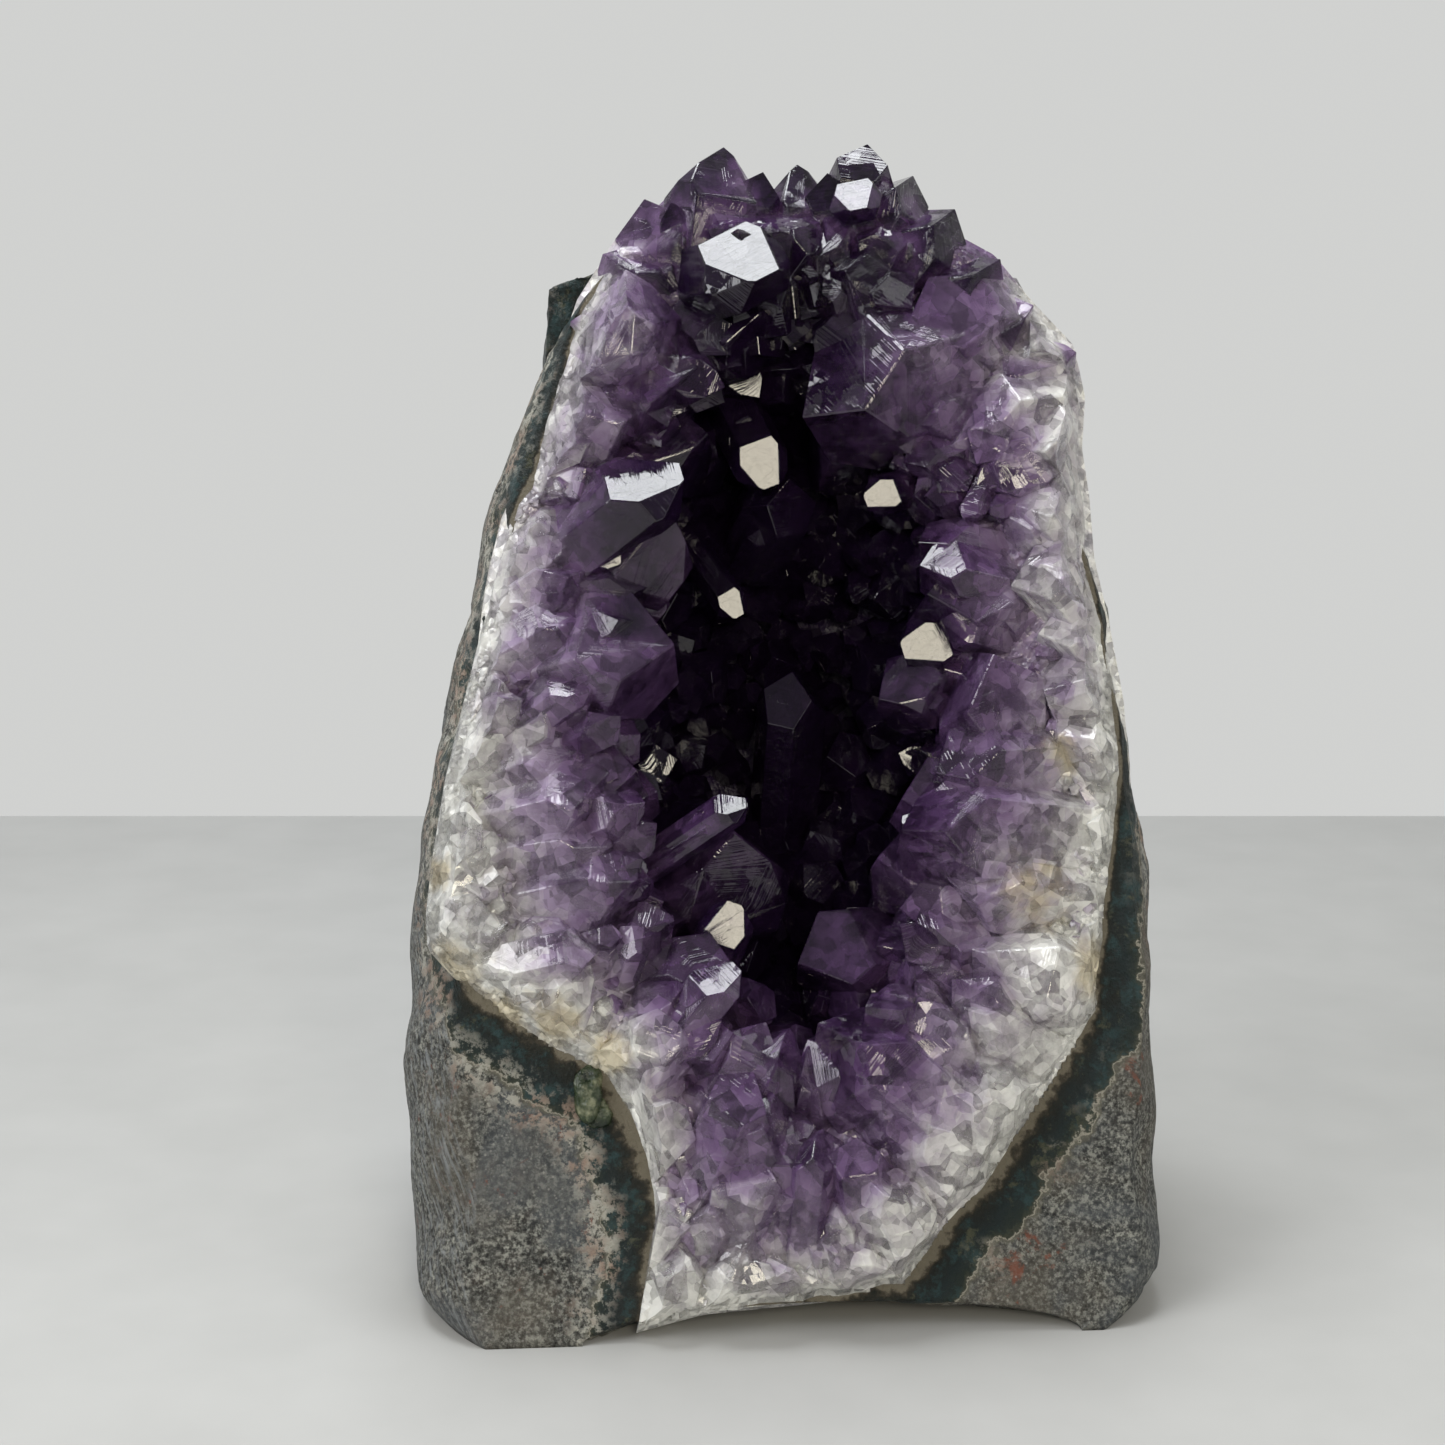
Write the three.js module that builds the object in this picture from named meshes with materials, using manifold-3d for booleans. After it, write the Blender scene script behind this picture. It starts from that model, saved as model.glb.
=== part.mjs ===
// A cut base amethyst cluster: one sector of a geode, sawn flat underneath so that it stands up.
// Its front is a cut face that leans back, and in that face is the hollow lined with amethyst.
// Outside in, it is grey basalt, a band of milky quartz, and the crust of purple crystal points.
// Units are millimetres. +Z is up, +X is to the right of someone looking at the cut face, and the
// origin is the middle of the base.
import * as THREE from "three";
import { ConvexGeometry } from "three/addons/geometries/ConvexGeometry.js";
import { mergeVertices } from "three/addons/utils/BufferGeometryUtils.js";
import Module from "manifold-3d";

const wasm = await Module();
wasm.setup();

// Driving dimensions
const WIDTH = 80;
const DEPTH = 61.8;
const ROCK_HEIGHT = 109;
const FACE_FOOT_Y = -28.3; // where the cut face meets the base
const FACE_LEAN = THREE.MathUtils.degToRad(19);
const FACE_YAW = THREE.MathUtils.degToRad(4);
const SKIN = 3; // rock left outside the quartz at the sides and the back
const GAP = 0.3; // between neighbouring solids
const CRUST = 2.5; // quartz that the crystal points grow from
const QUARTZ_FOOT = 1.2; // the quartz ends this far above the base
const FAR = 400; // blocks that cut the part are this large

// The nodule's outer surface
const STRAIGHT_HEIGHT = 30; // below this its sides go straight up
const BELOW_BASE = -4; // it is made this much too long, then sawn off at the base
const TOP_SHIFT = 1.8; // how far the top lies to the right of the base
const TOP_BACK_Y = 19.9;
const TOP_ROUND = 5; // how far the back's upper edge is rounded off
const FRONT_MARGIN = 7; // rock made ahead of the cut face, then cut away
const SHOULDER_POWER = 1.4; // the sides draw in from low down when this is small
const CROWN_POWER = 0.27; // the top is blunt when this is small
const CORNER_POWER = 3.8; // 2 is an oval plan, and more is squarer
const LUMP_SIZE = 21;
const LUMP_DEPTH = 0.9;
const EDGE_ROUND = 4.5; // height over which the foot's lower edge is rounded
const EDGE_INSET = 3;
const OUTER_GRID = { rings: 14, segments: 32 };
const INNER_GRID = { rings: 11, segments: 24 };
const RING_CROWDING = 1.6; // 1 spaces the rings evenly, and more crowds them at the top

// Places on the cut face are (across, up, out) from the foot of the face
const QUARTZ = { centre: [1.5, 66, 0], reach: [37.5, 66, 34] };
const QUARTZ_LEFT = { heading: 218, distance: 3.4 }; // straight lower left side of the quartz
const LEFT_BEVEL = { heading: 226, distance: 22 }; // ground off the foot's left side
const HOLLOW = { centre: [2, 65, 0], reach: [21.5, 42, 24] };
const FOOT_CHIP = { centre: [5, 0, 0], reach: [25, 3.6, 16] };
const COARSE = 3; // how often the faces of an oval are split
const FINE = 4;

// Quartz points: the angle between the long axis and a tip face's normal, and face unevenness
const TIP_ANGLE = THREE.MathUtils.degToRad(51.8);
const SIDES = 6;
const SAME_PLACE = 0.01;
const WELL_GROWN = 4.9; // points over this half width have all six tip faces
const GOLDEN_ANGLE = Math.PI * (3 - Math.sqrt(5));
const FILLER_POINTS = 24;
const FILLER_WIDTHS = [2.3, 4.3]; // narrowest and widest half width
const FILLER_STAND = [1, 3.5]; // how far the tips stand off the wall, besides their tip's height
const FILLER_SWAY = 0.35; // how far their aim strays, as a share of one
const OUTWARD = 0.35; // how far they turn to the hollow's mouth
const RIM_ROWS = [1, 6.5, 12, 17.5]; // how far outside the hollow's mouth each row stands
const RIM_SPACING = 11;
const RIM_WIDTHS = [3.2, 4.8];
const RIM_RISES = [0.5, 1]; // radians out of the face
const RIM_OUT = [1, 4]; // how far the tips stand out of the face
const RIM_SWAY = 0.3; // radians that their headings stray
const EVEN_OUT = 0.157; // spaces points evenly round an oval twice as high as it is wide
const SEEDS = { large: 11, crown: 17, filler: 23, rim: 37 };

// The largest points: tip across, up and out; heading in the face, where 0 is right and 90 is up;
// rise out of the face; half width; least length
const LARGE_POINTS = [
  [-9.9, 69.5, 4, 8, 38, 6.5, 15], // big one at the left
  [-9.6, 82.5, 3, 40, 50, 6, 14],
  [-3.5, 50.8, -3, 60, 60, 8, 18], // big dark one low in the hollow
  [3, 37.4, -4, 185, 35, 5, 12],
  [-4.4, 37.1, 1, 5, 38, 4.5, 12],
  [-2.8, 33.9, 0, 80, 80, 3.2, 9],
  [3.4, 68, -8, 88, 40, 3.6, 20], // upright spike in the middle
  [3.5, 88.5, -6, 60, 60, 4, 14],
  [0.1, 104.3, 2, 20, 60, 5, 13],
  [14.9, 102.1, 4, 190, 42, 6.5, 14],
  [8, 90.5, -3, 225, 50, 7, 16],
  [-6.9, 98.2, 3, 10, 42, 6.5, 14],
  [-5.7, 92.5, -2, 15, 40, 5.5, 13],
  [11.5, 64.1, 0, 195, 38, 4.2, 13],
  [22.6, 67.8, 4, 100, 50, 5.6, 12],
  [16.6, 74.5, 3, 175, 45, 6, 13],
  [5.2, 29.7, 2, 110, 55, 5.5, 12],
  [13.6, 53.7, 1, 170, 42, 5, 13],
  [11.3, 47.9, -2, 160, 42, 5.5, 13],
  [15.8, 41.5, 1, 150, 42, 5, 13],
  [-13.8, 57, 1, 10, 42, 4.8, 13],
  [-12.8, 46.2, 0, 5, 42, 4.8, 13],
];

// Points on the top edge, where the rock is broken away
const CROWN_POINTS = [
  [-3, 123.2, -1, 82, 14, 5.2, 17], // left tip
  [12.1, 123.6, -1, 80, 14, 3.8, 17], // right tip
  [16.8, 119.7, 0, 60, 15, 3.6, 14],
  [-11.6, 117.3, -1, 110, 18, 4.8, 14],
  [4.8, 120.8, -2, 90, 14, 4.4, 14],
  [-7.6, 119.5, -2, 100, 20, 4, 13],
  [8.5, 120.6, -3, 95, 14, 4, 13],
  [20.8, 115.6, 1, 50, 25, 4.4, 14],
  [25.3, 110, 1.5, 40, 30, 4.4, 13],
  [28.8, 105.2, 1, 30, 30, 4.2, 12],
  [33, 100.2, 1, 20, 32, 5.2, 13], // right shoulder
  [10.2, 113.8, 3, 270, 60, 4.4, 11],
  [0.5, 112.5, 2.5, 60, 60, 5, 12],
  [-16.2, 111, 0.5, 140, 30, 4.4, 12],
  [-19.5, 104, 0.5, 160, 35, 4.2, 11],
];

// Corners of the lump of rock left standing at the upper left, in the part's own X, Y and Z
const LUMP_CORNERS = [
  [-24.6, 8, 102],
  [-18, 9, 104.2],
  [-14, 20, 103],
  [-22, 20, 99],
  [-25.4, 6.5, 91.5],
  [-26.6, 13, 88],
  [-20, 5, 86],
  [-18, 23, 84],
];

// A repeatable stream of numbers from 0 to 1
function numberStream(seed) {
  let state = seed;
  return () => {
    state = (state * 1664525 + 1013904223) % 4294967296;
    return state / 4294967296;
  };
}

function between([least, most], share) {
  return least + (most - least) * share;
}

// Turns places on the cut face into places in the part
const faceToPart = new THREE.Matrix4()
  .makeTranslation(0, FACE_FOOT_Y, 0)
  .multiply(new THREE.Matrix4().makeRotationZ(FACE_YAW))
  .multiply(new THREE.Matrix4().makeRotationX(Math.PI / 2 - FACE_LEAN));

// A closed three.js geometry as a solid to cut and join
function solid(geometry) {
  const bare = geometry.index ? geometry.clone() : geometry;
  bare.deleteAttribute("normal");
  bare.deleteAttribute("uv");
  const merged = mergeVertices(bare, 1e-4);
  return new wasm.Manifold(
    new wasm.Mesh({
      numProp: 3,
      vertProperties: new Float32Array(merged.attributes.position.array),
      triVerts: new Uint32Array(merged.index.array),
    }),
  );
}

function meshFrom(name, shape, material) {
  const data = shape.getMesh();
  const geometry = new THREE.BufferGeometry();
  geometry.setAttribute("position", new THREE.BufferAttribute(data.vertProperties, 3));
  geometry.setIndex(new THREE.BufferAttribute(data.triVerts, 1));
  geometry.computeVertexNormals();
  const mesh = new THREE.Mesh(geometry, material);
  mesh.name = name;
  return mesh;
}

function onePiece(shape) {
  return shape.decompose().reduce((a, b) => (a.volume() > b.volume() ? a : b));
}

function joined(shapes) {
  return shapes.reduce((sum, shape) => sum.add(shape));
}

// An oval blob given in face coordinates, made smaller all round by inset
function blob({ centre, reach }, inset, detail) {
  const geometry = new THREE.IcosahedronGeometry(1, detail);
  geometry.scale(...reach.map((r) => r - inset));
  geometry.translate(...centre);
  geometry.applyMatrix4(faceToPart);
  return solid(geometry);
}

// Everything beyond a plane that stands square to a direction, which is a face direction
function beyond(direction, distance) {
  const geometry = new THREE.BoxGeometry(FAR, FAR, FAR);
  geometry.translate(0, 0, FAR / 2 + distance);
  const swing = new THREE.Quaternion().setFromUnitVectors(new THREE.Vector3(0, 0, 1), direction);
  geometry.applyQuaternion(swing);
  geometry.applyMatrix4(faceToPart);
  return solid(geometry);
}

function aheadOfFace(out) {
  return beyond(new THREE.Vector3(0, 0, 1), out);
}

function besideFace({ heading, distance }, extra) {
  const turn = THREE.MathUtils.degToRad(heading);
  return beyond(new THREE.Vector3(Math.cos(turn), Math.sin(turn), 0), distance + extra);
}

function below(height) {
  const geometry = new THREE.BoxGeometry(FAR, FAR, FAR);
  geometry.translate(0, 0, height - FAR / 2);
  return solid(geometry);
}

// Low lumps of natural rock, from -1 to 1
function lump(x, y, z) {
  const k = (2 * Math.PI) / LUMP_SIZE;
  const first = Math.sin(k * (x + 0.6 * y)) * Math.cos(k * (0.8 * z - 0.5 * x) + 1.7);
  const second = Math.sin(k * (0.9 * y + 0.4 * z) + 2.3) * Math.cos(k * (0.7 * x - z));
  return (first + second) / 2;
}

// The nodule's size and place at a height: half width, half depth and centre
function planAt(height, inset) {
  const top = ROCK_HEIGHT - inset;
  const rise = THREE.MathUtils.clamp((height - STRAIGHT_HEIGHT) / (top - STRAIGHT_HEIGHT), 0, 1);
  const arch = Math.pow(1 - Math.pow(rise, SHOULDER_POWER), CROWN_POWER);
  const foot = THREE.MathUtils.clamp((EDGE_ROUND - height) / EDGE_ROUND, 0, 1);
  const edge = EDGE_INSET * foot * foot;
  const front = FACE_FOOT_Y + height * Math.tan(FACE_LEAN) - FRONT_MARGIN;
  const taper = (DEPTH / 2 - TOP_BACK_Y) * rise * rise + TOP_ROUND * Math.pow(rise, 12);
  const back = DEPTH / 2 - taper - edge - inset;
  return {
    halfWidth: Math.max((WIDTH / 2 - edge - inset) * arch, 0),
    halfDepth: (back - front) / 2,
    x: TOP_SHIFT * rise,
    y: (front + back) / 2,
  };
}

// The nodule's outer surface as stacked rings, made smaller all round by inset
function nodule(inset, { rings, segments }) {
  const positions = [];
  const faces = [];
  const top = ROCK_HEIGHT - inset;
  const lowest = BELOW_BASE;
  for (let i = 0; i <= rings; i++) {
    const share = i / rings;
    const height = lowest + (top - lowest) * (1 - Math.pow(1 - share, RING_CROWDING));
    const plan = planAt(Math.min(height, top - 0.05), inset);
    for (let j = 0; j < segments; j++) {
      const turn = (2 * Math.PI * j) / segments;
      const c = Math.cos(turn);
      const s = Math.sin(turn);
      const power = 2 / CORNER_POWER;
      const x = plan.x + Math.sign(c) * plan.halfWidth * Math.pow(Math.abs(c), power);
      const y = plan.y + Math.sign(s) * plan.halfDepth * Math.pow(Math.abs(s), power);
      const bump = 1 - (LUMP_DEPTH * (1 + lump(x, y, height))) / (WIDTH / 2);
      positions.push(plan.x + (x - plan.x) * bump, plan.y + (y - plan.y) * bump, height);
    }
  }
  for (let i = 0; i < rings; i++) {
    for (let j = 0; j < segments; j++) {
      const a = i * segments + j;
      const b = i * segments + ((j + 1) % segments);
      faces.push(a, b, b + segments, a, b + segments, a + segments);
    }
  }
  const last = rings * segments;
  for (let j = 1; j < segments - 1; j++) {
    faces.push(0, j + 1, j);
    faces.push(last, last + j, last + j + 1);
  }
  const geometry = new THREE.BufferGeometry();
  geometry.setAttribute("position", new THREE.Float32BufferAttribute(positions, 3));
  geometry.setIndex(faces);
  return solid(geometry);
}

// The corners where three of the planes (normal, distance) meet and no other plane cuts them off
function cornersOf(planes) {
  const corners = [];
  const cross = new THREE.Vector3();
  for (let i = 0; i < planes.length; i++)
    for (let j = i + 1; j < planes.length; j++)
      for (let k = j + 1; k < planes.length; k++) {
        const [a, b, c] = [planes[i], planes[j], planes[k]];
        const volume = cross.crossVectors(b.normal, c.normal).dot(a.normal);
        if (Math.abs(volume) < 1e-6) continue;
        const point = cross.clone().multiplyScalar(a.distance);
        point.addScaledVector(new THREE.Vector3().crossVectors(c.normal, a.normal), b.distance);
        point.addScaledVector(new THREE.Vector3().crossVectors(a.normal, b.normal), c.distance);
        point.divideScalar(volume);
        if (planes.some((p) => p.normal.dot(point) > p.distance + 1e-6)) continue;
        if (corners.some((q) => q.distanceTo(point) < SAME_PLACE)) continue;
        corners.push(point);
      }
  return corners;
}

// A quartz point: a six-sided prism under three tip faces, or under six where it is well grown.
// Its planes are kept with its tip at the origin and its length down -Z.
function pointPlanes(random, halfWidth, length, wellGrown) {
  const planes = [{ normal: new THREE.Vector3(0, 0, -1), distance: length }];
  for (let i = 0; i < SIDES; i++) {
    const turn = (i * 2 * Math.PI) / SIDES;
    const [c, s] = [Math.cos(turn), Math.sin(turn)];
    const width = halfWidth * (0.9 + 0.2 * random());
    const smaller = i % 2 ? 0.1 + 0.22 * random() : 0.04 * random();
    const lean = new THREE.Vector3(c * Math.sin(TIP_ANGLE), s * Math.sin(TIP_ANGLE), Math.cos(TIP_ANGLE));
    planes.push({ normal: new THREE.Vector3(c, s, 0), distance: width });
    if (wellGrown || i % 2 === 0) planes.push({ normal: lean, distance: halfWidth * smaller });
  }
  return planes;
}

function quartzPoint(point, grow) {
  const grown = point.planes.map((p) => ({ normal: p.normal, distance: p.distance + grow }));
  return solid(new ConvexGeometry(cornersOf(grown)).applyMatrix4(point.matrix));
}

// A point whose tip is at a place on the face and whose long axis has a heading and a rise there
function pointOnFace(random, tip, heading, rise, halfWidth, length, wellGrown) {
  const aim = new THREE.Vector3(
    Math.cos(rise) * Math.cos(heading),
    Math.cos(rise) * Math.sin(heading),
    Math.sin(rise),
  );
  const spin = new THREE.Quaternion().setFromAxisAngle(new THREE.Vector3(0, 0, 1), random() * Math.PI);
  const swing = new THREE.Quaternion().setFromUnitVectors(new THREE.Vector3(0, 0, 1), aim);
  const matrix = new THREE.Matrix4().compose(tip, swing.multiply(spin), new THREE.Vector3(1, 1, 1));
  const buried = (tip.z + halfWidth * Math.cos(rise)) / Math.sin(rise) + 1;
  return {
    planes: pointPlanes(random, halfWidth, Math.max(length, buried), wellGrown),
    matrix: matrix.premultiply(faceToPart),
  };
}

function placedPoints(table, seed) {
  const random = numberStream(seed);
  return table.map(([across, up, out, heading, rise, halfWidth, length]) =>
    pointOnFace(
      random,
      new THREE.Vector3(across, up, out),
      THREE.MathUtils.degToRad(heading),
      THREE.MathUtils.degToRad(rise),
      halfWidth,
      length,
      halfWidth > WELL_GROWN,
    ),
  );
}

// Points that stand all over the hollow's wall and aim at its mouth
function fillerPoints() {
  const random = numberStream(SEEDS.filler);
  const points = [];
  for (let i = 0; i < FILLER_POINTS; i++) {
    const sink = Math.pow(1 - (i + 0.5) / FILLER_POINTS, 1.5);
    const turn = i * GOLDEN_ANGLE;
    const ring = Math.sqrt(1 - sink * sink);
    const way = new THREE.Vector3(ring * Math.cos(turn), ring * Math.sin(turn), -sink);
    const wall = new THREE.Vector3(...HOLLOW.reach).multiply(way);
    const inward = way.clone().divide(new THREE.Vector3(...HOLLOW.reach)).normalize().negate();
    const halfWidth = between(FILLER_WIDTHS, random());
    const stand = halfWidth * 1.3 + between(FILLER_STAND, random());
    const aim = new THREE.Vector3(
      inward.x + between([-FILLER_SWAY, FILLER_SWAY], random()),
      inward.y + between([-FILLER_SWAY, FILLER_SWAY], random()),
      inward.z + OUTWARD,
    ).normalize();
    const tip = wall.clone().addScaledVector(aim, stand).add(new THREE.Vector3(...HOLLOW.centre));
    const heading = Math.atan2(aim.y, aim.x);
    points.push(pointOnFace(random, tip, heading, Math.asin(aim.z), halfWidth, stand + 2, false));
  }
  return points;
}

// Whether a point of that half width stands on the quartz at that place on the face
function isOnQuartz(across, up, halfWidth) {
  const plan = planAt(up * Math.cos(FACE_LEAN), SKIN);
  const turn = THREE.MathUtils.degToRad(QUARTZ_LEFT.heading);
  const pastLeft = across * Math.cos(turn) + up * Math.sin(turn) > QUARTZ_LEFT.distance - 3;
  const [aside, above] = [across - QUARTZ.centre[0], up - QUARTZ.centre[1]];
  const inOval = Math.hypot(aside / QUARTZ.reach[0], above / QUARTZ.reach[1]) < 0.93;
  return inOval && !pastLeft && Math.abs(aside - 2) < plan.halfWidth * 0.9 - halfWidth;
}

// Broken, half buried points in rows round the hollow's mouth, aimed into it
function rimPoints() {
  const random = numberStream(SEEDS.rim);
  const points = [];
  for (const away of RIM_ROWS) {
    const [wide, high] = [HOLLOW.reach[0] + away, HOLLOW.reach[1] + away];
    const count = Math.round((2 * Math.PI * Math.hypot(wide, high)) / Math.SQRT2 / RIM_SPACING);
    for (let i = 0; i < count; i++) {
      const even = (2 * Math.PI * (i + 0.5 * random())) / count;
      const turn = even - EVEN_OUT * Math.sin(2 * even);
      const across = HOLLOW.centre[0] + wide * Math.cos(turn);
      const up = HOLLOW.centre[1] + high * Math.sin(turn);
      const inward = Math.atan2(-wide * Math.sin(turn), -high * Math.cos(turn));
      const heading = inward + between([-RIM_SWAY, RIM_SWAY], random());
      const halfWidth = between(RIM_WIDTHS, random());
      const rise = between(RIM_RISES, random());
      const out = between(RIM_OUT, random() * THREE.MathUtils.clamp(up / 70, 0.4, 1));
      const tip = new THREE.Vector3(across, up, out);
      const point = pointOnFace(random, tip, heading, rise, halfWidth, 2 * halfWidth, false);
      if (isOnQuartz(across, up, halfWidth)) points.push(point);
    }
  }
  return points;
}

// The nodule sawn off in front and underneath, made larger all round by extra
function sawnNodule(extra) {
  return nodule(-extra, OUTER_GRID)
    .subtract(aheadOfFace(extra))
    .subtract(besideFace(LEFT_BEVEL, extra))
    .subtract(below(-extra));
}

// The room that the quartz fills behind the face
function quartzRoom(inset) {
  return blob(QUARTZ, inset, FINE)
    .intersect(nodule(SKIN + inset, INNER_GRID))
    .subtract(besideFace(QUARTZ_LEFT, -inset));
}

function cluster(points, grow) {
  return joined(points.map((point) => quartzPoint(point, grow)));
}

const face = aheadOfFace(0);
const chip = blob(FOOT_CHIP, 0, COARSE);
const openSpace = solid(new THREE.BoxGeometry(FAR, FAR, FAR)).subtract(sawnNodule(GAP));
const quartzSpace = quartzRoom(GAP);
const pocketSpace = blob(HOLLOW, GAP, FINE).intersect(quartzSpace);

// The crust: a shell on the hollow's wall and the points fused to it
const crustPoints = [...placedPoints(LARGE_POINTS, SEEDS.large), ...fillerPoints()];
const shell = pocketSpace.subtract(blob(HOLLOW, GAP + CRUST, COARSE)).subtract(face);
const crustRoom = blob(HOLLOW, GAP + CRUST / 2, COARSE).intersect(quartzSpace).add(openSpace);
const crust = onePiece(shell.add(cluster(crustPoints, 0).intersect(crustRoom)));
const crustClearance = cluster(crustPoints, GAP).intersect(openSpace.add(face));

// The quartz: what lies behind the face round the hollow, with the rim's and the crown's points
const crownPoints = placedPoints(CROWN_POINTS, SEEDS.crown);
const rimSpace = quartzSpace.add(openSpace.intersect(face)).intersect(blob(QUARTZ, 0, COARSE));
const rim = cluster(rimPoints(), 0)
  .intersect(rimSpace)
  .subtract(besideFace(QUARTZ_LEFT, 1));
const quartz = onePiece(
  quartzSpace
    .subtract(face)
    .add(rim.add(cluster(crownPoints, 0)).subtract(crustClearance))
    .subtract(blob(HOLLOW, 0, FINE))
    .subtract(chip)
    .subtract(below(QUARTZ_FOOT)),
);

// The rock: the sawn nodule and the lump, less what the quartz fills
const leftLump = solid(new ConvexGeometry(LUMP_CORNERS.map((c) => new THREE.Vector3(...c))));
const rock = onePiece(
  sawnNodule(0)
    .add(leftLump.subtract(face))
    .subtract(quartzRoom(0))
    .subtract(cluster(crownPoints, GAP))
    .subtract(chip),
);

const basalt = new THREE.MeshStandardMaterial({ color: 0x5d5b55, roughness: 0.85, metalness: 0 });
const milkyQuartz = new THREE.MeshStandardMaterial({ color: 0xc9c3c6, roughness: 0.4, metalness: 0 });
const amethyst = new THREE.MeshStandardMaterial({ color: 0x4b2a63, roughness: 0.12, metalness: 0 });

const part = new THREE.Group();
part.add(meshFrom("basalt_matrix", rock, basalt));
part.add(meshFrom("quartz_band", quartz, milkyQuartz));
part.add(meshFrom("amethyst_crust", crust, amethyst));

export default part;
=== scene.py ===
"""The looks of a cut base amethyst cluster: a geode sector sawn flat underneath, its leaning cut
face showing grey basalt, a dark green rind, a band of milky quartz and a hollow full of amethyst.

Sizes are in millimetres until a mesh is made. A place on the cut face is (across, up, out), counted
from the middle of the face's foot.
"""

import itertools
import math
from contextlib import contextmanager

import bmesh
import bpy
import numpy as np
from mathutils import Matrix, Quaternion, Vector

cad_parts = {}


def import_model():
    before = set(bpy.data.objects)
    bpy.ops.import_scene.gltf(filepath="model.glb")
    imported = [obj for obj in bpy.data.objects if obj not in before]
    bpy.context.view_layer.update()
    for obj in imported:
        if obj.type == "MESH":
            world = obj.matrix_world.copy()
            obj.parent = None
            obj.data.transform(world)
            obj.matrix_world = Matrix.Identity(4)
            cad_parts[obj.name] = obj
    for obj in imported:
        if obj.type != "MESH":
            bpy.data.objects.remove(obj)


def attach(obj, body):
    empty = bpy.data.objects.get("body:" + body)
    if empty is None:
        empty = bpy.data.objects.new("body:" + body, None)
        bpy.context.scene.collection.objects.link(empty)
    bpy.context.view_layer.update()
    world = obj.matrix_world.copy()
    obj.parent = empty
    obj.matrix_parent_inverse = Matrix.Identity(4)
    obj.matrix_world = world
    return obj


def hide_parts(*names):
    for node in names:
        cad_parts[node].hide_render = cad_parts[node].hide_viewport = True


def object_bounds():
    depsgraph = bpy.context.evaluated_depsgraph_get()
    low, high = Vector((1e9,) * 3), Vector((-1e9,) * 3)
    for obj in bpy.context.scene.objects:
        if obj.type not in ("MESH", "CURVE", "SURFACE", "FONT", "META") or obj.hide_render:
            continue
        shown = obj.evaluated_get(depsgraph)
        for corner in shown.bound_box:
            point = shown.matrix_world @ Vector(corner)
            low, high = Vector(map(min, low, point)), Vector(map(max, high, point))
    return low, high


MM = 0.001

# Driving dimensions, the same as those of the solids
WIDTH = 80
DEPTH = 61.8
ROCK_HEIGHT = 109
FACE_FOOT_Y = -28.3
FACE_LEAN = math.radians(19)
FACE_YAW = math.radians(4)
STRAIGHT_HEIGHT = 30
TOP_SHIFT = 1.8
TOP_BACK_Y = 19.9
TOP_ROUND = 5
FRONT_MARGIN = 7
CORNER_POWER = 3.8
LUMP_SIZE = 21
LUMP_DEPTH = 0.9
EDGE_ROUND = 4.5
EDGE_INSET = 3
LEFT_BEVEL_HEADING = math.radians(226)
LEFT_BEVEL_DISTANCE = 22
HOLLOW_CENTRE = np.array([2.0, 65.0, 0.0])
HOLLOW_REACH = np.array([21.5, 42.0, 24.0])
FOOT_CHIP_CENTRE = np.array([5.0, 0.0, 0.0])
FOOT_CHIP_REACH = np.array([25.0, 3.6, 16.0])
TIP_ANGLE = math.radians(51.8)
# How wide the large points' edges are worn, as a share of the half width, and from which half width
WORN_EDGE = 0.022
WORN_ABOVE = 2.8
SHAPES_PER_CLUSTER = 24
SHAPE_LENGTH = 4.0
# Loose shells with fewer vertices than this are deleted
SPECK = 17
BOX_MARGIN = 0.02
# How finely the meshes are divided, as rows and columns
ROCK_GRID = (196, 420)
CAP_ROWS = 12
TOP_ROWS = 8
CHIP_GRID = (48, 96)
ROOM_COLUMNS = 420
BED_GRID = (64, 640)
WALL_GRID = (90, 300)
OLIVE_GRID = (24, 40)
# How finely the lump of rind is remeshed, and where its top and left sides lie
RIND_LUMP_CELL = 0.5
RIND_LUMP_TOP = 99.5
RIND_LUMP_LEFT = -21.0

# Where the quartz meets its rind on the cut face, anticlockwise from the foot's left
QUARTZ_OUTLINE = np.array(
    [
        (-14.8, 1.0), (-8.0, 2.6), (5.0, 3.5), (12.3, 4.5), (15.9, 9.3), (20.7, 14.1),
        (26.6, 21.9), (30.3, 26.9), (33.1, 31.8), (33.9, 36.9), (34.5, 40.9), (35.3, 46.1),
        (36.8, 55.5), (36.4, 63.8), (35.2, 72.0), (34.0, 78.5), (33.8, 85), (33.3, 90),
        (33.9, 95.5), (33.0, 101), (28.6, 106), (25, 110.8), (18.5, 114.5), (8, 116.4),
        (-3, 116.6), (-9.5, 114.4), (-14.5, 112.5), (-18.5, 106.0), (-21.8, 96.0), (-23.9, 88.4),
        (-26.3, 83.2), (-28.4, 74.9), (-31, 64.7), (-33, 56.6), (-34.4, 48.5), (-35.1, 42.6),
        (-34.9, 39.4), (-32.6, 36.8), (-27.7, 32.2), (-23.3, 29.1), (-17.8, 26.5), (-15.4, 23.0),
        (-13.9, 19.0), (-12.8, 14.1), (-12.6, 8.2),
    ]
)

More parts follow.
